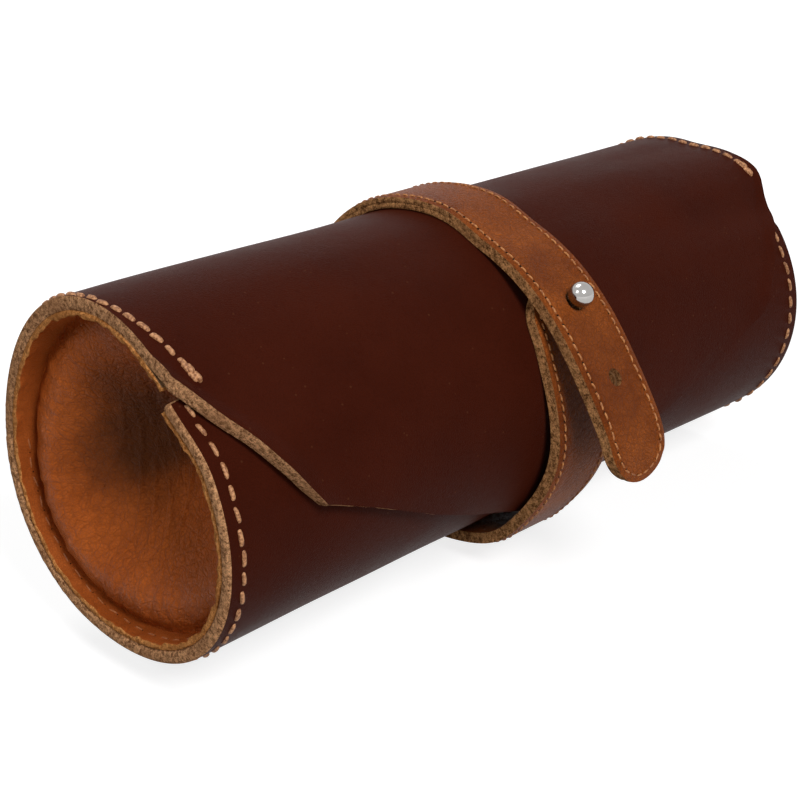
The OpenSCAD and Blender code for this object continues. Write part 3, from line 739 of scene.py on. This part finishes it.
def build_stitch_tree():
    """Geometry nodes: stitches, and flat dark dots of painted shade for the needle holes, along a seam line
    that carries its outward direction.
    """
    tree = bpy.data.node_groups.new("stitch_row", "GeometryNodeTree")
    face = tree.interface
    face.new_socket(name="Geometry", in_out="INPUT", socket_type="NodeSocketGeometry")
    for label, value in (("Pitch", 0.005), ("Length", 0.0042), ("Thickness", 0.001), ("Hole", 0.0009),
                         ("Sink", 0.0002), ("Unevenness", 0.1)):
        face.new_socket(name=label, in_out="INPUT", socket_type="NodeSocketFloat").default_value = value
    face.new_socket(name="Seed", in_out="INPUT", socket_type="NodeSocketInt").default_value = 3
    for label in ("Thread", "Hole Shade"):
        face.new_socket(name=label, in_out="INPUT", socket_type="NodeSocketMaterial")
    face.new_socket(name="Geometry", in_out="OUTPUT", socket_type="NodeSocketGeometry")
    take = tree.nodes.new("NodeGroupInput").outputs
    leave = tree.nodes.new("NodeGroupOutput")

    def node(kind, inputs=None, **settings):
        return make_node(tree, kind, inputs, **settings)

    seam = node("GeometryNodeMeshToCurve", {0: take["Geometry"]})
    outward = node("GeometryNodeInputNamedAttribute", {"Name": "outward"}, data_type="FLOAT_VECTOR")
    tangent = node("GeometryNodeInputTangent")
    across = node("ShaderNodeVectorMath", {0: outward, 1: tangent}, operation="CROSS_PRODUCT")

    def on_seam(points, shape, lift):
        """Lays a shape on each point, along the seam and facing outwards."""
        along = node("FunctionNodeAlignRotationToVector", {"Vector": tangent}, axis="X")
        facing = node("FunctionNodeAlignRotationToVector", {"Rotation": along, "Vector": outward},
                      axis="Z", pivot_axis="X")
        raised = node("ShaderNodeVectorMath", {0: outward, "Scale": lift}, operation="SCALE")
        moved = node("GeometryNodeSetPosition", {"Geometry": points, "Offset": raised})
        return node("GeometryNodeInstanceOnPoints", {"Points": moved, "Instance": shape, "Rotation": facing})

    def by_hand(data_type, values):
        """A value drawn for each stitch."""
        return node("FunctionNodeRandomValue", {**values, "Seed": take["Seed"]}, data_type=data_type)

    whole = node("GeometryNodeResampleCurve", {"Curve": seam, "Length": take["Pitch"]}, mode="LENGTH")
    slip = reckon(tree, "MULTIPLY", by_hand("FLOAT", {2: -1.0, 3: 1.0}).outputs[1], take["Unevenness"])
    aside = node("ShaderNodeVectorMath", {0: across, "Scale": slip}, operation="SCALE")
    uneven = node("GeometryNodeSetPosition", {"Geometry": whole, "Offset": aside})
    tube = node("GeometryNodeMeshCylinder", {"Vertices": 8, "Side Segments": 8, "Radius": 0.5, "Depth": 1.0})
    lying = node("GeometryNodeTransform", {"Geometry": tube, "Rotation": (0.0, math.pi / 2, 0.0)})
    spot = node("ShaderNodeSeparateXYZ", {0: node("GeometryNodeInputPosition")})
    toward_end = reckon(tree, "POWER", reckon(tree, "MULTIPLY", spot, 2.0), 4.0)
    draw_in = reckon(tree, "MULTIPLY", toward_end, -0.4)
    draw_y = reckon(tree, "MULTIPLY", draw_in, spot.outputs[1])
    dip = reckon(tree, "MULTIPLY_ADD", toward_end, -0.7, reckon(tree, "MULTIPLY", draw_in, spot.outputs[2]))
    pulled = node("ShaderNodeCombineXYZ", {1: draw_y, 2: dip})
    bowed = node("GeometryNodeSetPosition", {"Geometry": lying, "Offset": pulled})
    size = node("ShaderNodeCombineXYZ", {0: take["Length"], 1: take["Thickness"], 2: take["Thickness"]})
    strand = node("GeometryNodeTransform", {"Geometry": bowed, "Scale": size})
    thread = node("GeometryNodeSetMaterial", {"Geometry": strand, "Material": take["Thread"]})
    placed = on_seam(uneven, thread, reckon(tree, "MULTIPLY", take["Sink"], -1.0))
    slant = by_hand("FLOAT_VECTOR", {0: (0.0, -0.05, -0.12), 1: (0.0, 0.05, 0.20)})
    turned = node("GeometryNodeRotateInstances", {"Instances": placed, "Rotation": slant})
    length = by_hand("FLOAT_VECTOR", {0: (0.86, 0.85, 0.9), 1: (1.06, 1.12, 1.1)})
    stitches = node("GeometryNodeScaleInstances", {"Instances": turned, "Scale": length})

    half_pitch = reckon(tree, "MULTIPLY", take["Pitch"], 0.5)
    shifted = node("GeometryNodeTrimCurve", {0: seam, 4: half_pitch, 5: 100.0}, mode="LENGTH")
    between = node("GeometryNodeResampleCurve", {"Curve": shifted, "Length": take["Pitch"]}, mode="LENGTH")
    # Between the stitches sit flat dark dots: painted shade standing in for the needle holes, which are not
    # cut.
    ball = node("GeometryNodeMeshUVSphere", {"Segments": 8, "Rings": 6, "Radius": 0.5})
    flat = node("ShaderNodeCombineXYZ", {0: take["Hole"], 1: take["Hole"], 2: 0.00016})
    dot = node("GeometryNodeTransform", {"Geometry": ball, "Scale": flat})
    hole_shade_dot = node("GeometryNodeSetMaterial", {"Geometry": dot, "Material": take["Hole Shade"]})
    holes = on_seam(between, hole_shade_dot, 0.0)

    both = node("GeometryNodeJoinGeometry")
    for row in (stitches, holes):
        tree.links.new(row.outputs[0], both.inputs[0])
    soft = node("GeometryNodeSetShadeSmooth", {0: node("GeometryNodeRealizeInstances", {0: both})})
    tree.links.new(soft.outputs[0], leave.inputs[0])
    return tree


def waxed_thread(name, dark, light):
    """Twisted, waxed thread."""
    f = Finish(name)
    twist = f.node("ShaderNodeTexNoise", {"Vector": f.place(), "Scale": 1500.0, "Detail": 3.0})
    strands = remap(f.tree, twist, 0.38, 0.62, 0.0, 1.0)
    f.feed(Base_Color=blend_colours(f.tree, strands, dark, light), Roughness=0.6)
    f.emboss(twist, 0.5, 0.0002)
    return f.material


stitch_tree = build_stitch_tree()
rim_thread = waxed_thread("rim_thread", (0.20, 0.070, 0.022), (0.60, 0.29, 0.13))
lining_thread = waxed_thread("lining_thread", (0.22, 0.06, 0.014), (0.38, 0.12, 0.03))
# Near-black dots: painted shade inside the needle holes.
hole_shade = rough_cut("hole_shade", (0.010, 0.005, 0.003), (0.02, 0.01, 0.006), (0.012, 0.006, 0.004))


def stitch_row(name, lines, sizes, thread, seed):
    """Sews one or more seam lines. Each line is (points, outward directions), in metres."""
    verts, edges, ups = [], [], []
    for points, outward in lines:
        first = len(verts)
        verts += points.tolist()
        ups += outward.tolist()
        edges += [(first + k, first + k + 1) for k in range(len(points) - 1)]
    mesh = bpy.data.meshes.new(name)
    mesh.from_pydata(verts, edges, [])
    direction = mesh.attributes.new("outward", "FLOAT_VECTOR", "POINT")
    direction.data.foreach_set("vector", np.array(ups, dtype=np.float32).ravel())
    line = bpy.data.objects.new(name + "_line", mesh)
    bpy.context.scene.collection.objects.link(line)
    sewing = line.modifiers.new("sewing", "NODES")
    sewing.node_group = stitch_tree
    values = dict(sizes)
    values.update({"Seed": seed, "Thread": thread, "Hole Shade": hole_shade})
    for item in stitch_tree.interface.items_tree:
        if item.in_out == "INPUT" and item.name in values:
            sewing[item.identifier] = values[item.name]
    bpy.context.view_layer.update()
    graph = bpy.context.evaluated_depsgraph_get()
    result = bpy.data.meshes.new_from_object(line.evaluated_get(graph))
    result.name = name
    bpy.data.objects.remove(line)
    piece = bpy.data.objects.new(name, result)
    bpy.context.scene.collection.objects.link(piece)
    return piece


def seam_round(x, angles, radius_at, lift=0.0):
    """A seam line round the roll, at one distance along it or at one for each angle."""
    angles = np.asarray(angles, float)
    x = x + 0 * angles
    points = round_roll(x, radius_at(x, angles) + lift, angles)
    a = np.radians(angles)
    return points, np.stack([0 * a, -np.cos(a), np.sin(a)], -1)


rim_seam_angles = np.linspace(fold_angle + 4.0, 403.5, 240)
rim_sizes = {"Pitch": 0.005, "Length": 0.0044, "Thickness": 0.0011, "Hole": 0.0011, "Sink": -0.00006,
             "Unevenness": 0.0002}
inner_sizes = dict(rim_sizes, Length=0.0034, Thickness=0.0005, Hole=0.0004, Sink=0.0)
for name, side, node in (("left_rim", -1, "left_rim_thread"), ("right_rim", 1, "right_rim_thread")):
    x = side * (half_length - rim_inset)
    outside = seam_round(x, rim_seam_angles, cover_radius)
    inside = seam_round(x, rim_seam_angles, lambda u, a: cover_radius(u, a) - lining_depth - lining_thickness)
    piece = stitch_row(name + "_stitches", [outside], rim_sizes, rim_thread, 3 + side)
    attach(piece, "roll_body")
    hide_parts(node)
    inner_row = (inside[0], -inside[1])
    piece = stitch_row(name + "_inner_stitches", [inner_row], inner_sizes, lining_thread, 13 + side)
    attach(piece, "roll_body")

# The lid's row ends in a backstitch: strands over each other. At the left it wanders from the
# rim towards its end, where the rim curls.
lid_sizes = dict(rim_sizes, Pitch=0.004, Length=0.0039, Thickness=0.0013)
knot_sizes = dict(lid_sizes, Length=0.0032, Thickness=0.0012, Hole=0.0, Unevenness=0.0001)
seam_drift = 0.155
for name, side, node, last in (
    ("left_lid", -1, "left_lid_thread", 51.5), ("right_lid", 1, "right_lid_thread", 56.5),
):
    angles = np.linspace(fold_angle, last, 170)
    inset = 1.0 + seam_drift * np.maximum(88.0 - angles, 0) if side < 0 else rim_inset + 0 * angles
    inset = inset + (rim_inset - inset) * smooth((angles - 110) / 30)
    row = seam_round(side * (half_length - inset), angles, lid_radius)
    knots = []
    toward_corner = seam_drift if side < 0 else 0.0
    for shift, start, lift in ((-0.45, 0.5, 0.0), (0.0, -0.4, 0.35), (0.45, 0.3, 0.0)):
        spread = last + start + np.array([0.0, 1.6, 3.2])
        across = shift + toward_corner * (last - spread) * -side
        knots.append(seam_round(side * (half_length - inset[-1]) + across, spread, lid_radius, lift))
    for label, lines, sizes in (("_stitches", [row], lid_sizes), ("_knots", knots, knot_sizes)):
        piece = stitch_row(name + label, lines, sizes, rim_thread, 7 + side)
        if label == "_stitches":
            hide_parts(node)
        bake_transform(piece)


# Strap: two plies of tan bridle leather, 20.5 mm wide, sewn round both edges. It runs down
# the back and under the roll to the stud strap, and over the lid to the tongue.
strap_half = 10.25
ply = 1.6
ply_gap = 0.05
strap_total = 2 * ply + ply_gap
seam_inset = 1.9
seam_w = strap_half - seam_inset
thread_lift = 0.12
tongue_start_angle = 62.0
tongue_length = 75.0
stud_from_root = 26.5
spare_hole_from_stud = 21.5


def under_radius(angle):
    """Outer radius of the strap down the back, under the roll and up the front to the stud."""
    a = from_front(angle)
    on_roll = roll_radius + layer_gap
    front = roll_radius - front_give(a) + 2 * layer_gap + cover_thickness
    bow = 2.6 * smooth(1 - np.abs(a + 12.0) / 32.0) + 0.6 * smooth(1 - np.abs(a + 46.0) / 30.0)
    rise = smooth((np.asarray(angle, float) - 276.0) / 36.0)
    return on_roll * (1 - rise) + (front + bow) * rise + strap_total


def over_radius(angle):
    """Outer radius of the strap where it lies on the lid."""
    return lid_radius(np.full(np.shape(angle), strap_x), angle) + layer_gap + strap_total


def tongue_line():
    """The tongue's outer line in front of the roll: three bends, in mm from the roll's middle."""
    start = math.radians(tongue_start_angle)
    radius = float(over_radius(np.array(tongue_start_angle)))
    point = np.array([radius * math.cos(start), radius * math.sin(start)])
    slope = math.radians(-18.0)
    points = [point.copy()]
    for bend, length in ((60.0, 35.0), (170.0, 24.0), (30.0, 16.0)):
        for _ in range(int(length / 0.25)):
            slope -= 0.125 / bend
            point = point + 0.25 * np.array([math.cos(slope), math.sin(slope)])
            points.append(point.copy())
            slope -= 0.125 / bend
    return np.array(points)


class StrapLine:
    """A strap's outer line, evened out, with its length and its outward direction."""

    def __init__(self, points, soften=0):
        step = 0.25
        length = np.concatenate([[0], np.cumsum(np.linalg.norm(np.diff(points, axis=0), axis=1))])
        even = np.arange(0, length[-1] + step / 2, step)
        even[-1] = min(even[-1], length[-1])
        points = np.stack([np.interp(even, length, points[:, k]) for k in (0, 1)], -1)
        if soften:
            window = np.exp(-np.linspace(-2, 2, 2 * soften + 1) ** 2)
            window /= window.sum()
            ends = np.pad(points, ((soften, soften), (0, 0)), mode="edge")
            slid = np.stack([np.convolve(ends[:, k], window, "valid") for k in (0, 1)], -1)
            count = np.arange(len(points))
            edge = smooth(np.minimum(count, count[::-1]) / (3.0 * soften))[:, None]
            points = points * (1 - edge) + slid * edge
        self.points = points
        self.length = np.concatenate([[0], np.cumsum(np.linalg.norm(np.diff(points, axis=0), axis=1))])
        tangent = np.gradient(points, axis=0)
        tangent /= np.linalg.norm(tangent, axis=1, keepdims=True)
        self.outward = np.stack([-tangent[:, 1], tangent[:, 0]], -1)
        if np.sum(self.outward * points) < 0:
            self.outward = -self.outward

    def at(self, s, w, depth):
        """A point at distance s along the line, w across it and depth below its face, in metres."""
        s, w, depth = np.broadcast_arrays(np.asarray(s, float), w, depth)
        front, up = (np.interp(s, self.length, self.points[:, k])
                     - depth * np.interp(s, self.length, self.outward[:, k]) for k in (0, 1))
        return np.stack([(strap_x + w) / 1000, axis_y - front / 1000, axis_z + up / 1000], -1)

    def up_at(self, s):
        s = np.asarray(s, float)
        return np.stack([0 * s, -np.interp(s, self.length, self.outward[:, 0]),
                         np.interp(s, self.length, self.outward[:, 1])], -1)


def on_circle(angles, radii):
    a = np.radians(angles)
    return np.stack([radii * np.cos(a), radii * np.sin(a)], -1)


under_angles = np.linspace(fold_angle, 401, 500)
under_line = StrapLine(on_circle(under_angles, under_radius(under_angles)))
over_angles = np.linspace(fold_angle, tongue_start_angle, 300)
over_points = on_circle(over_angles, over_radius(over_angles))
over_line = StrapLine(np.concatenate([over_points, tongue_line()[1:]]), soften=14)
top_index = int(np.argmax(over_line.points[:, 1]))
over_split = float(over_line.length[top_index])
stud_s = over_line.length[-1] - tongue_length + stud_from_root
spare_hole_s = stud_s + spare_hole_from_stud

strap_face = hide_face("strap_face", (0.165, 0.034, 0.0055), (0.37, 0.095, 0.018), 0.42, 0.0006, 0.0016, 0.8,
                       gloss=0.06, depth=0.6, tint=(1.0, 0.66, 0.42), speck=(0.09, 0.022, 0.006))
strap_back = rough_cut("strap_back", (0.14, 0.065, 0.026), (0.26, 0.135, 0.06), (0.15, 0.07, 0.03))
strap_cut = rough_cut("strap_cut", (0.09, 0.032, 0.010), (0.66, 0.32, 0.125), (0.22, 0.09, 0.034))


def seam_press(w):
    """The leather is pressed down along its seam and thinned towards its edge."""
    away = strap_half - np.abs(w)
    return 0.16 * np.exp(-((away - seam_inset) / 0.7) ** 2) + 0.25 * smooth(1 - away / 1.2)


def on_table(points):
    """The roll's weight presses the strap flat where it lies on the table."""
    points[..., 2] = np.maximum(points[..., 2], 0.0001)
    return points


def round_end(w, half):
    return half - np.sqrt(np.maximum(half ** 2 - np.asarray(w, float) ** 2, 0.0))


row_step = 1.1
strap_columns = strap_half * np.sin(np.linspace(-math.pi / 2, math.pi / 2, 41))


def strap_ply(name, line, s_from, s_to, depth, materials, rounded=False, sag=None, plain=("start",)):
    """One ply of a strap segment between two distances, with a rounded far end if asked."""
    def s_of(w, t):
        end = s_to - (round_end(w, strap_half) if rounded else 0.0)
        return s_from + (end - s_from) * t

    def place(w, t, d):
        s = s_of(w, t)
        extra = sag(s, w) if sag else 0.0
        press = seam_press(w) * (1 - (depth + d) / strap_total)
        return on_table(line.at(s, w, depth + d + extra + press))

    spread = np.linspace(0, 1, int((s_to - s_from) / row_step))
    if rounded:
        spread = np.sort(np.concatenate([spread, 1 - np.geomspace(0.0006, 0.05, 10)]))
    return sheet_mesh(name, place, lambda w, t: np.stack([w / 1000, s_of(w, t) / 1000], -1),
                      strap_columns, spread, ply, materials, rim_rows=4, rounding=0.18, ragged=0.14,
                      plain=plain)


def stud_dip(s, w):
    """The tongue is pulled down round the stud."""
    return 0.75 * np.exp(-(((s - stud_s) / 6.0) ** 2 + (np.asarray(w) / 6.5) ** 2))


face_set = (strap_face, strap_back, strap_cut)
lining_set = (strap_back, strap_face, strap_cut)


def toward_stud(distance):
    """A point at a distance from the roll's middle, forwards and a little up."""
    return 0.0, axis_y - 0.94 * distance, axis_z + 0.34 * distance


# Two points where the lower strap leaves the roll's front.
drop_start = toward_stud(0.0165)
drop_end = toward_stud(0.0215)
under_end = float(under_line.length[-1])
for name, depth, mats, nodes in (
    ("under_strap_face", 0.0, face_set, ("strap_back_face", "stud_strap_face")),
    ("under_strap_lining", ply + ply_gap, lining_set, ("strap_back_lining", "stud_strap_lining")),
):
    piece = strap_ply(name, under_line, 0.0, under_end, depth, mats, rounded=True)
    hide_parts(*nodes)
    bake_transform(piece)

for name, depth, mats, node in (
    ("over_strap_face", 0.0, face_set, "strap_top_face"),
    ("over_strap_lining", ply + ply_gap, lining_set, "strap_top_lining"),
):
    piece = strap_ply(name, over_line, 0.0, over_split, depth, mats, plain=("start", "end"))
    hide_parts(node)
    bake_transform(piece)

# The tongue leaves the lid where the strap stops following the roll.
lift_start = (0.0, axis_y - 0.0205, axis_z)
lift_end = (0.0, axis_y - 0.0245, axis_z)


def punch(piece, s, half_width, half_height, line):
    """Cuts a hole square through a ply: the faces inside it go, its rim is drawn round and walled."""
    centre = Vector(line.at(s, 0.0, ply))
    along = Vector(line.at(s + 0.5, 0.0, 0.0) - line.at(s - 0.5, 0.0, 0.0)).normalized()

    def inside(point):
        away = point - centre
        return math.hypot(away.x / half_width, away.dot(along) / half_height) if away.length < 0.012 else 99.0

    work = bmesh.new()
    work.from_mesh(piece.data)
    near = {e for f in work.faces if inside(f.calc_center_median()) < 2.0 for e in f.edges}
    bmesh.ops.subdivide_edges(work, edges=list(near), cuts=2, use_grid_fill=True)
    gone = [f for f in work.faces if inside(f.calc_center_median()) < 1.0]
    bmesh.ops.delete(work, geom=gone, context="FACES")
    rim = [e for e in work.edges if e.is_boundary]
    for vert in {v for e in rim for v in e.verts}:
        away = vert.co - centre
        reach = inside(vert.co)
        flat = Vector((away.x, 0.0, 0.0)) + along * away.dot(along)
        vert.co += flat * (1 / reach - 1)
    walls = bmesh.ops.bridge_loops(work, edges=rim)["faces"]
    for wall in walls:
        wall.material_index = 2
        wall.smooth = True
    bmesh.ops.recalc_face_normals(work, faces=work.faces)
    work.to_mesh(piece.data)
    work.free()
    piece.data.set_sharp_from_angle(angle=math.radians(50.0))


tongue_end = float(over_line.length[-1])
button_hole = (0.0022, 0.0027)
spare_hole = (0.0020, 0.0023)
for name, depth, mats, nodes in (
    ("tongue_leather", 0.0, face_set, ("tongue_face", "button_hole_lips")),
    ("tongue_lining_leather", ply + ply_gap, lining_set, ("tongue_lining",)),
):
    piece = strap_ply(name, over_line, over_split, tongue_end, depth, mats, rounded=True, sag=stud_dip)
    punch(piece, stud_s, *button_hole, over_line)
    narrowed = 1.0 if depth == 0.0 else 0.7
    punch(piece, spare_hole_s, *(size * narrowed for size in spare_hole), over_line)
    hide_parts(*nodes)
    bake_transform(piece)


# Strap stitching: finer stitches of the same thread, just inside both edges of the strap
# and round its ends. They hold the two plies together.
strap_sizes = {"Pitch": 0.0026, "Length": 0.0023, "Thickness": 0.00055, "Hole": 0.0007, "Sink": -0.00002,
               "Unevenness": 0.00008}
strap_thread = waxed_thread("strap_thread", (0.24, 0.075, 0.018), (0.50, 0.20, 0.055))


def seam_along(line, s_from, s_to, w):
    s = np.linspace(s_from, s_to, 200)
    return on_table(line.at(s, w, seam_press(np.array(w)) - thread_lift)), line.up_at(s)


def seam_round_end(line, s_from, s_end, sag=None):
    """Down one edge, round the end and back up the other."""
    centre = s_end - strap_half
    turn = np.linspace(-90, 90, 60)[1:-1]
    straight = np.linspace(s_from, centre, 160)
    s = np.concatenate([straight, centre + seam_w * np.cos(np.radians(turn)), straight[::-1]])
    w = np.concatenate([np.full(160, -seam_w), seam_w * np.sin(np.radians(turn)), np.full(160, seam_w)])
    press = seam_press(np.full(s.shape, seam_w)) + (sag(s, w) if sag else 0.0)
    return on_table(line.at(s, w, press - thread_lift)), line.up_at(s)


for name, lines, nodes, bodies, span in (
    ("under_strap_stitches", [seam_round_end(under_line, 1.0, under_end)],
     ("strap_back_thread", "stud_strap_thread"), ("roll_body", "stud_strap"), (drop_start, drop_end)),
    ("over_strap_stitches", [seam_along(over_line, 1.0, over_split, w) for w in (-seam_w, seam_w)],
     ("strap_top_thread",), ("roll_body", "lid"), (fold_start, fold_end)),
    ("tongue_stitches", [seam_round_end(over_line, over_split + 1.5, tongue_end, stud_dip)],
     ("tongue_thread",), ("lid", "tongue"), (lift_start, lift_end)),
):
    piece = stitch_row(name, lines, strap_sizes, strap_thread, 21)
    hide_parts(*nodes)
    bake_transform(piece)
anchor_lines = []
for line in (over_line, under_line):
    s = np.full(40, math.radians(12.0) * (roll_radius + layer_gap + strap_total))
    w = np.linspace(-seam_w + 1.5, seam_w - 1.5, 40)
    anchor_lines.append((line.at(s, w, -0.05), line.up_at(s)))
piece = stitch_row("strap_anchor_stitches", anchor_lines, strap_sizes, strap_thread, 5)
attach(piece, "roll_body")
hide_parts("strap_anchor_thread")


# Stud: a polished nickel ball on a short neck, screwed through the stud strap's face on a
# flat-headed screw. The tongue's hole buttons over it.
def polished_nickel(name):
    """Bright nickel with faint handling marks."""
    f = Finish(name)
    marks = f.node("ShaderNodeTexNoise", {"Vector": f.place(), "Scale": 900.0, "Detail": 4.0})
    colour = blend_colours(f.tree, marks, (0.36, 0.345, 0.33), (0.44, 0.425, 0.41))
    f.feed(Base_Color=colour, Roughness=remap(f.tree, marks, 0.3, 0.7, 0.10, 0.17), Metallic=1.0)
    return f.material


nickel = polished_nickel("nickel")
refinish("stud_ball", nickel)
refinish("stud_screw", nickel)


# Setting: a pale floor under soft studio light, and a camera at the photograph's viewpoint. The
# floor lies a little low, so that the dropped stud strap, which sags under the roll, stays in view.
floor_z = -0.0045


def to_viewer(tree):
    """1 for rays from the camera and for those that mirror or pass on its view."""
    rays = make_node(tree, "ShaderNodeLightPath").outputs
    seen = reckon(tree, "MAXIMUM", rays["Is Camera Ray"], rays["Is Glossy Ray"])
    return reckon(tree, "MAXIMUM", seen, rays["Is Transmission Ray"])


def plain_floor():
    """A wide pale sheet, white where it is looked at, with the part's faint shadow left on it."""
    mesh = bpy.data.meshes.new("floor")
    reach = 4.0
    corners = [(x * reach, y * reach, floor_z) for x, y in ((-1, -1), (1, -1), (1, 1), (-1, 1))]
    mesh.from_pydata(corners, [], [(0, 1, 2, 3)])
    f = Finish("pale_floor")
    f.feed(Base_Color=(0.42, 0.42, 0.42, 1.0), Roughness=0.9, Specular_IOR_Level=0.0)
    away = f.node("ShaderNodeVectorMath", {0: f.place()}, operation="LENGTH")
    pale = remap(f.tree, away.outputs["Value"], 0.16, 0.5, 0.80, 1.0)
    white = f.node("ShaderNodeEmission", {"Color": (1.0, 1.0, 1.0, 1.0), "Strength": pale})
    lit = f.node("ShaderNodeAddShader", {0: f.shader, 1: white})
    both = f.node("ShaderNodeMixShader", {0: to_viewer(f.tree), 1: f.shader, 2: lit})
    f.tree.links.new(both.outputs[0], f.output.inputs[0])
    mesh.materials.append(f.material)
    floor = bpy.data.objects.new("floor", mesh)
    bpy.context.scene.collection.objects.link(floor)


plain_floor()

world = bpy.data.worlds.new("studio")
bpy.context.scene.world = world
world.use_nodes = True
sky = world.node_tree
sky.nodes.clear()
soft = make_node(sky, "ShaderNodeBackground", {"Color": (1.0, 0.99, 0.98, 1.0), "Strength": 0.06})
white = make_node(sky, "ShaderNodeBackground", {"Color": (1.0, 1.0, 1.0, 1.0), "Strength": 1.0})
mixed = make_node(sky, "ShaderNodeMixShader", {0: to_viewer(sky), 1: soft, 2: white})
make_node(sky, "ShaderNodeOutputWorld", {0: mixed})


def softbox(name, at, width, height, power, aim=(0.0, 0.0, 0.04), seen_in_gloss=True):
    light = bpy.data.lights.new(name, "AREA")
    light.shape = "RECTANGLE"
    light.size = width
    light.size_y = height
    light.energy = power
    lamp = bpy.data.objects.new(name, light)
    lamp.location = at
    lamp.visible_glossy = seen_in_gloss
    lamp.rotation_euler = (Vector(aim) - Vector(at)).to_track_quat("-Z", "Y").to_euler()
    bpy.context.scene.collection.objects.link(lamp)


softbox("right_light", (-0.30, -0.84, 0.82), 0.36, 0.36, 9.6)
softbox("left_light", (-0.96, 0.08, 0.78), 0.36, 0.36, 2.4)
softbox("back_light", (0.05, 0.50, 1.05), 0.6, 0.5, 4.0)
softbox("low_fill", (-0.35, -1.1, 0.12), 0.5, 0.3, 1.6, aim=(0.0, 0.0, 0.03), seen_in_gloss=False)

focal_pixels = 1645.45
picture_pixels = 800.0
camera_at = Vector((-0.29939, -0.28606 + axis_y, 0.16315 + axis_z))
camera_aim = Vector((-0.01412, axis_y, -0.00651 + axis_z))
lens = bpy.data.cameras.new("camera")
lens.sensor_width = 36.0
lens.lens = focal_pixels / picture_pixels * lens.sensor_width
lens.clip_start = 0.01
camera = bpy.data.objects.new("camera", lens)
camera.location = camera_at
camera.rotation_euler = (camera_aim - camera_at).to_track_quat("-Z", "Y").to_euler()
bpy.context.scene.collection.objects.link(camera)
bpy.context.scene.camera = camera
bpy.context.scene.view_settings.view_transform = "Standard"
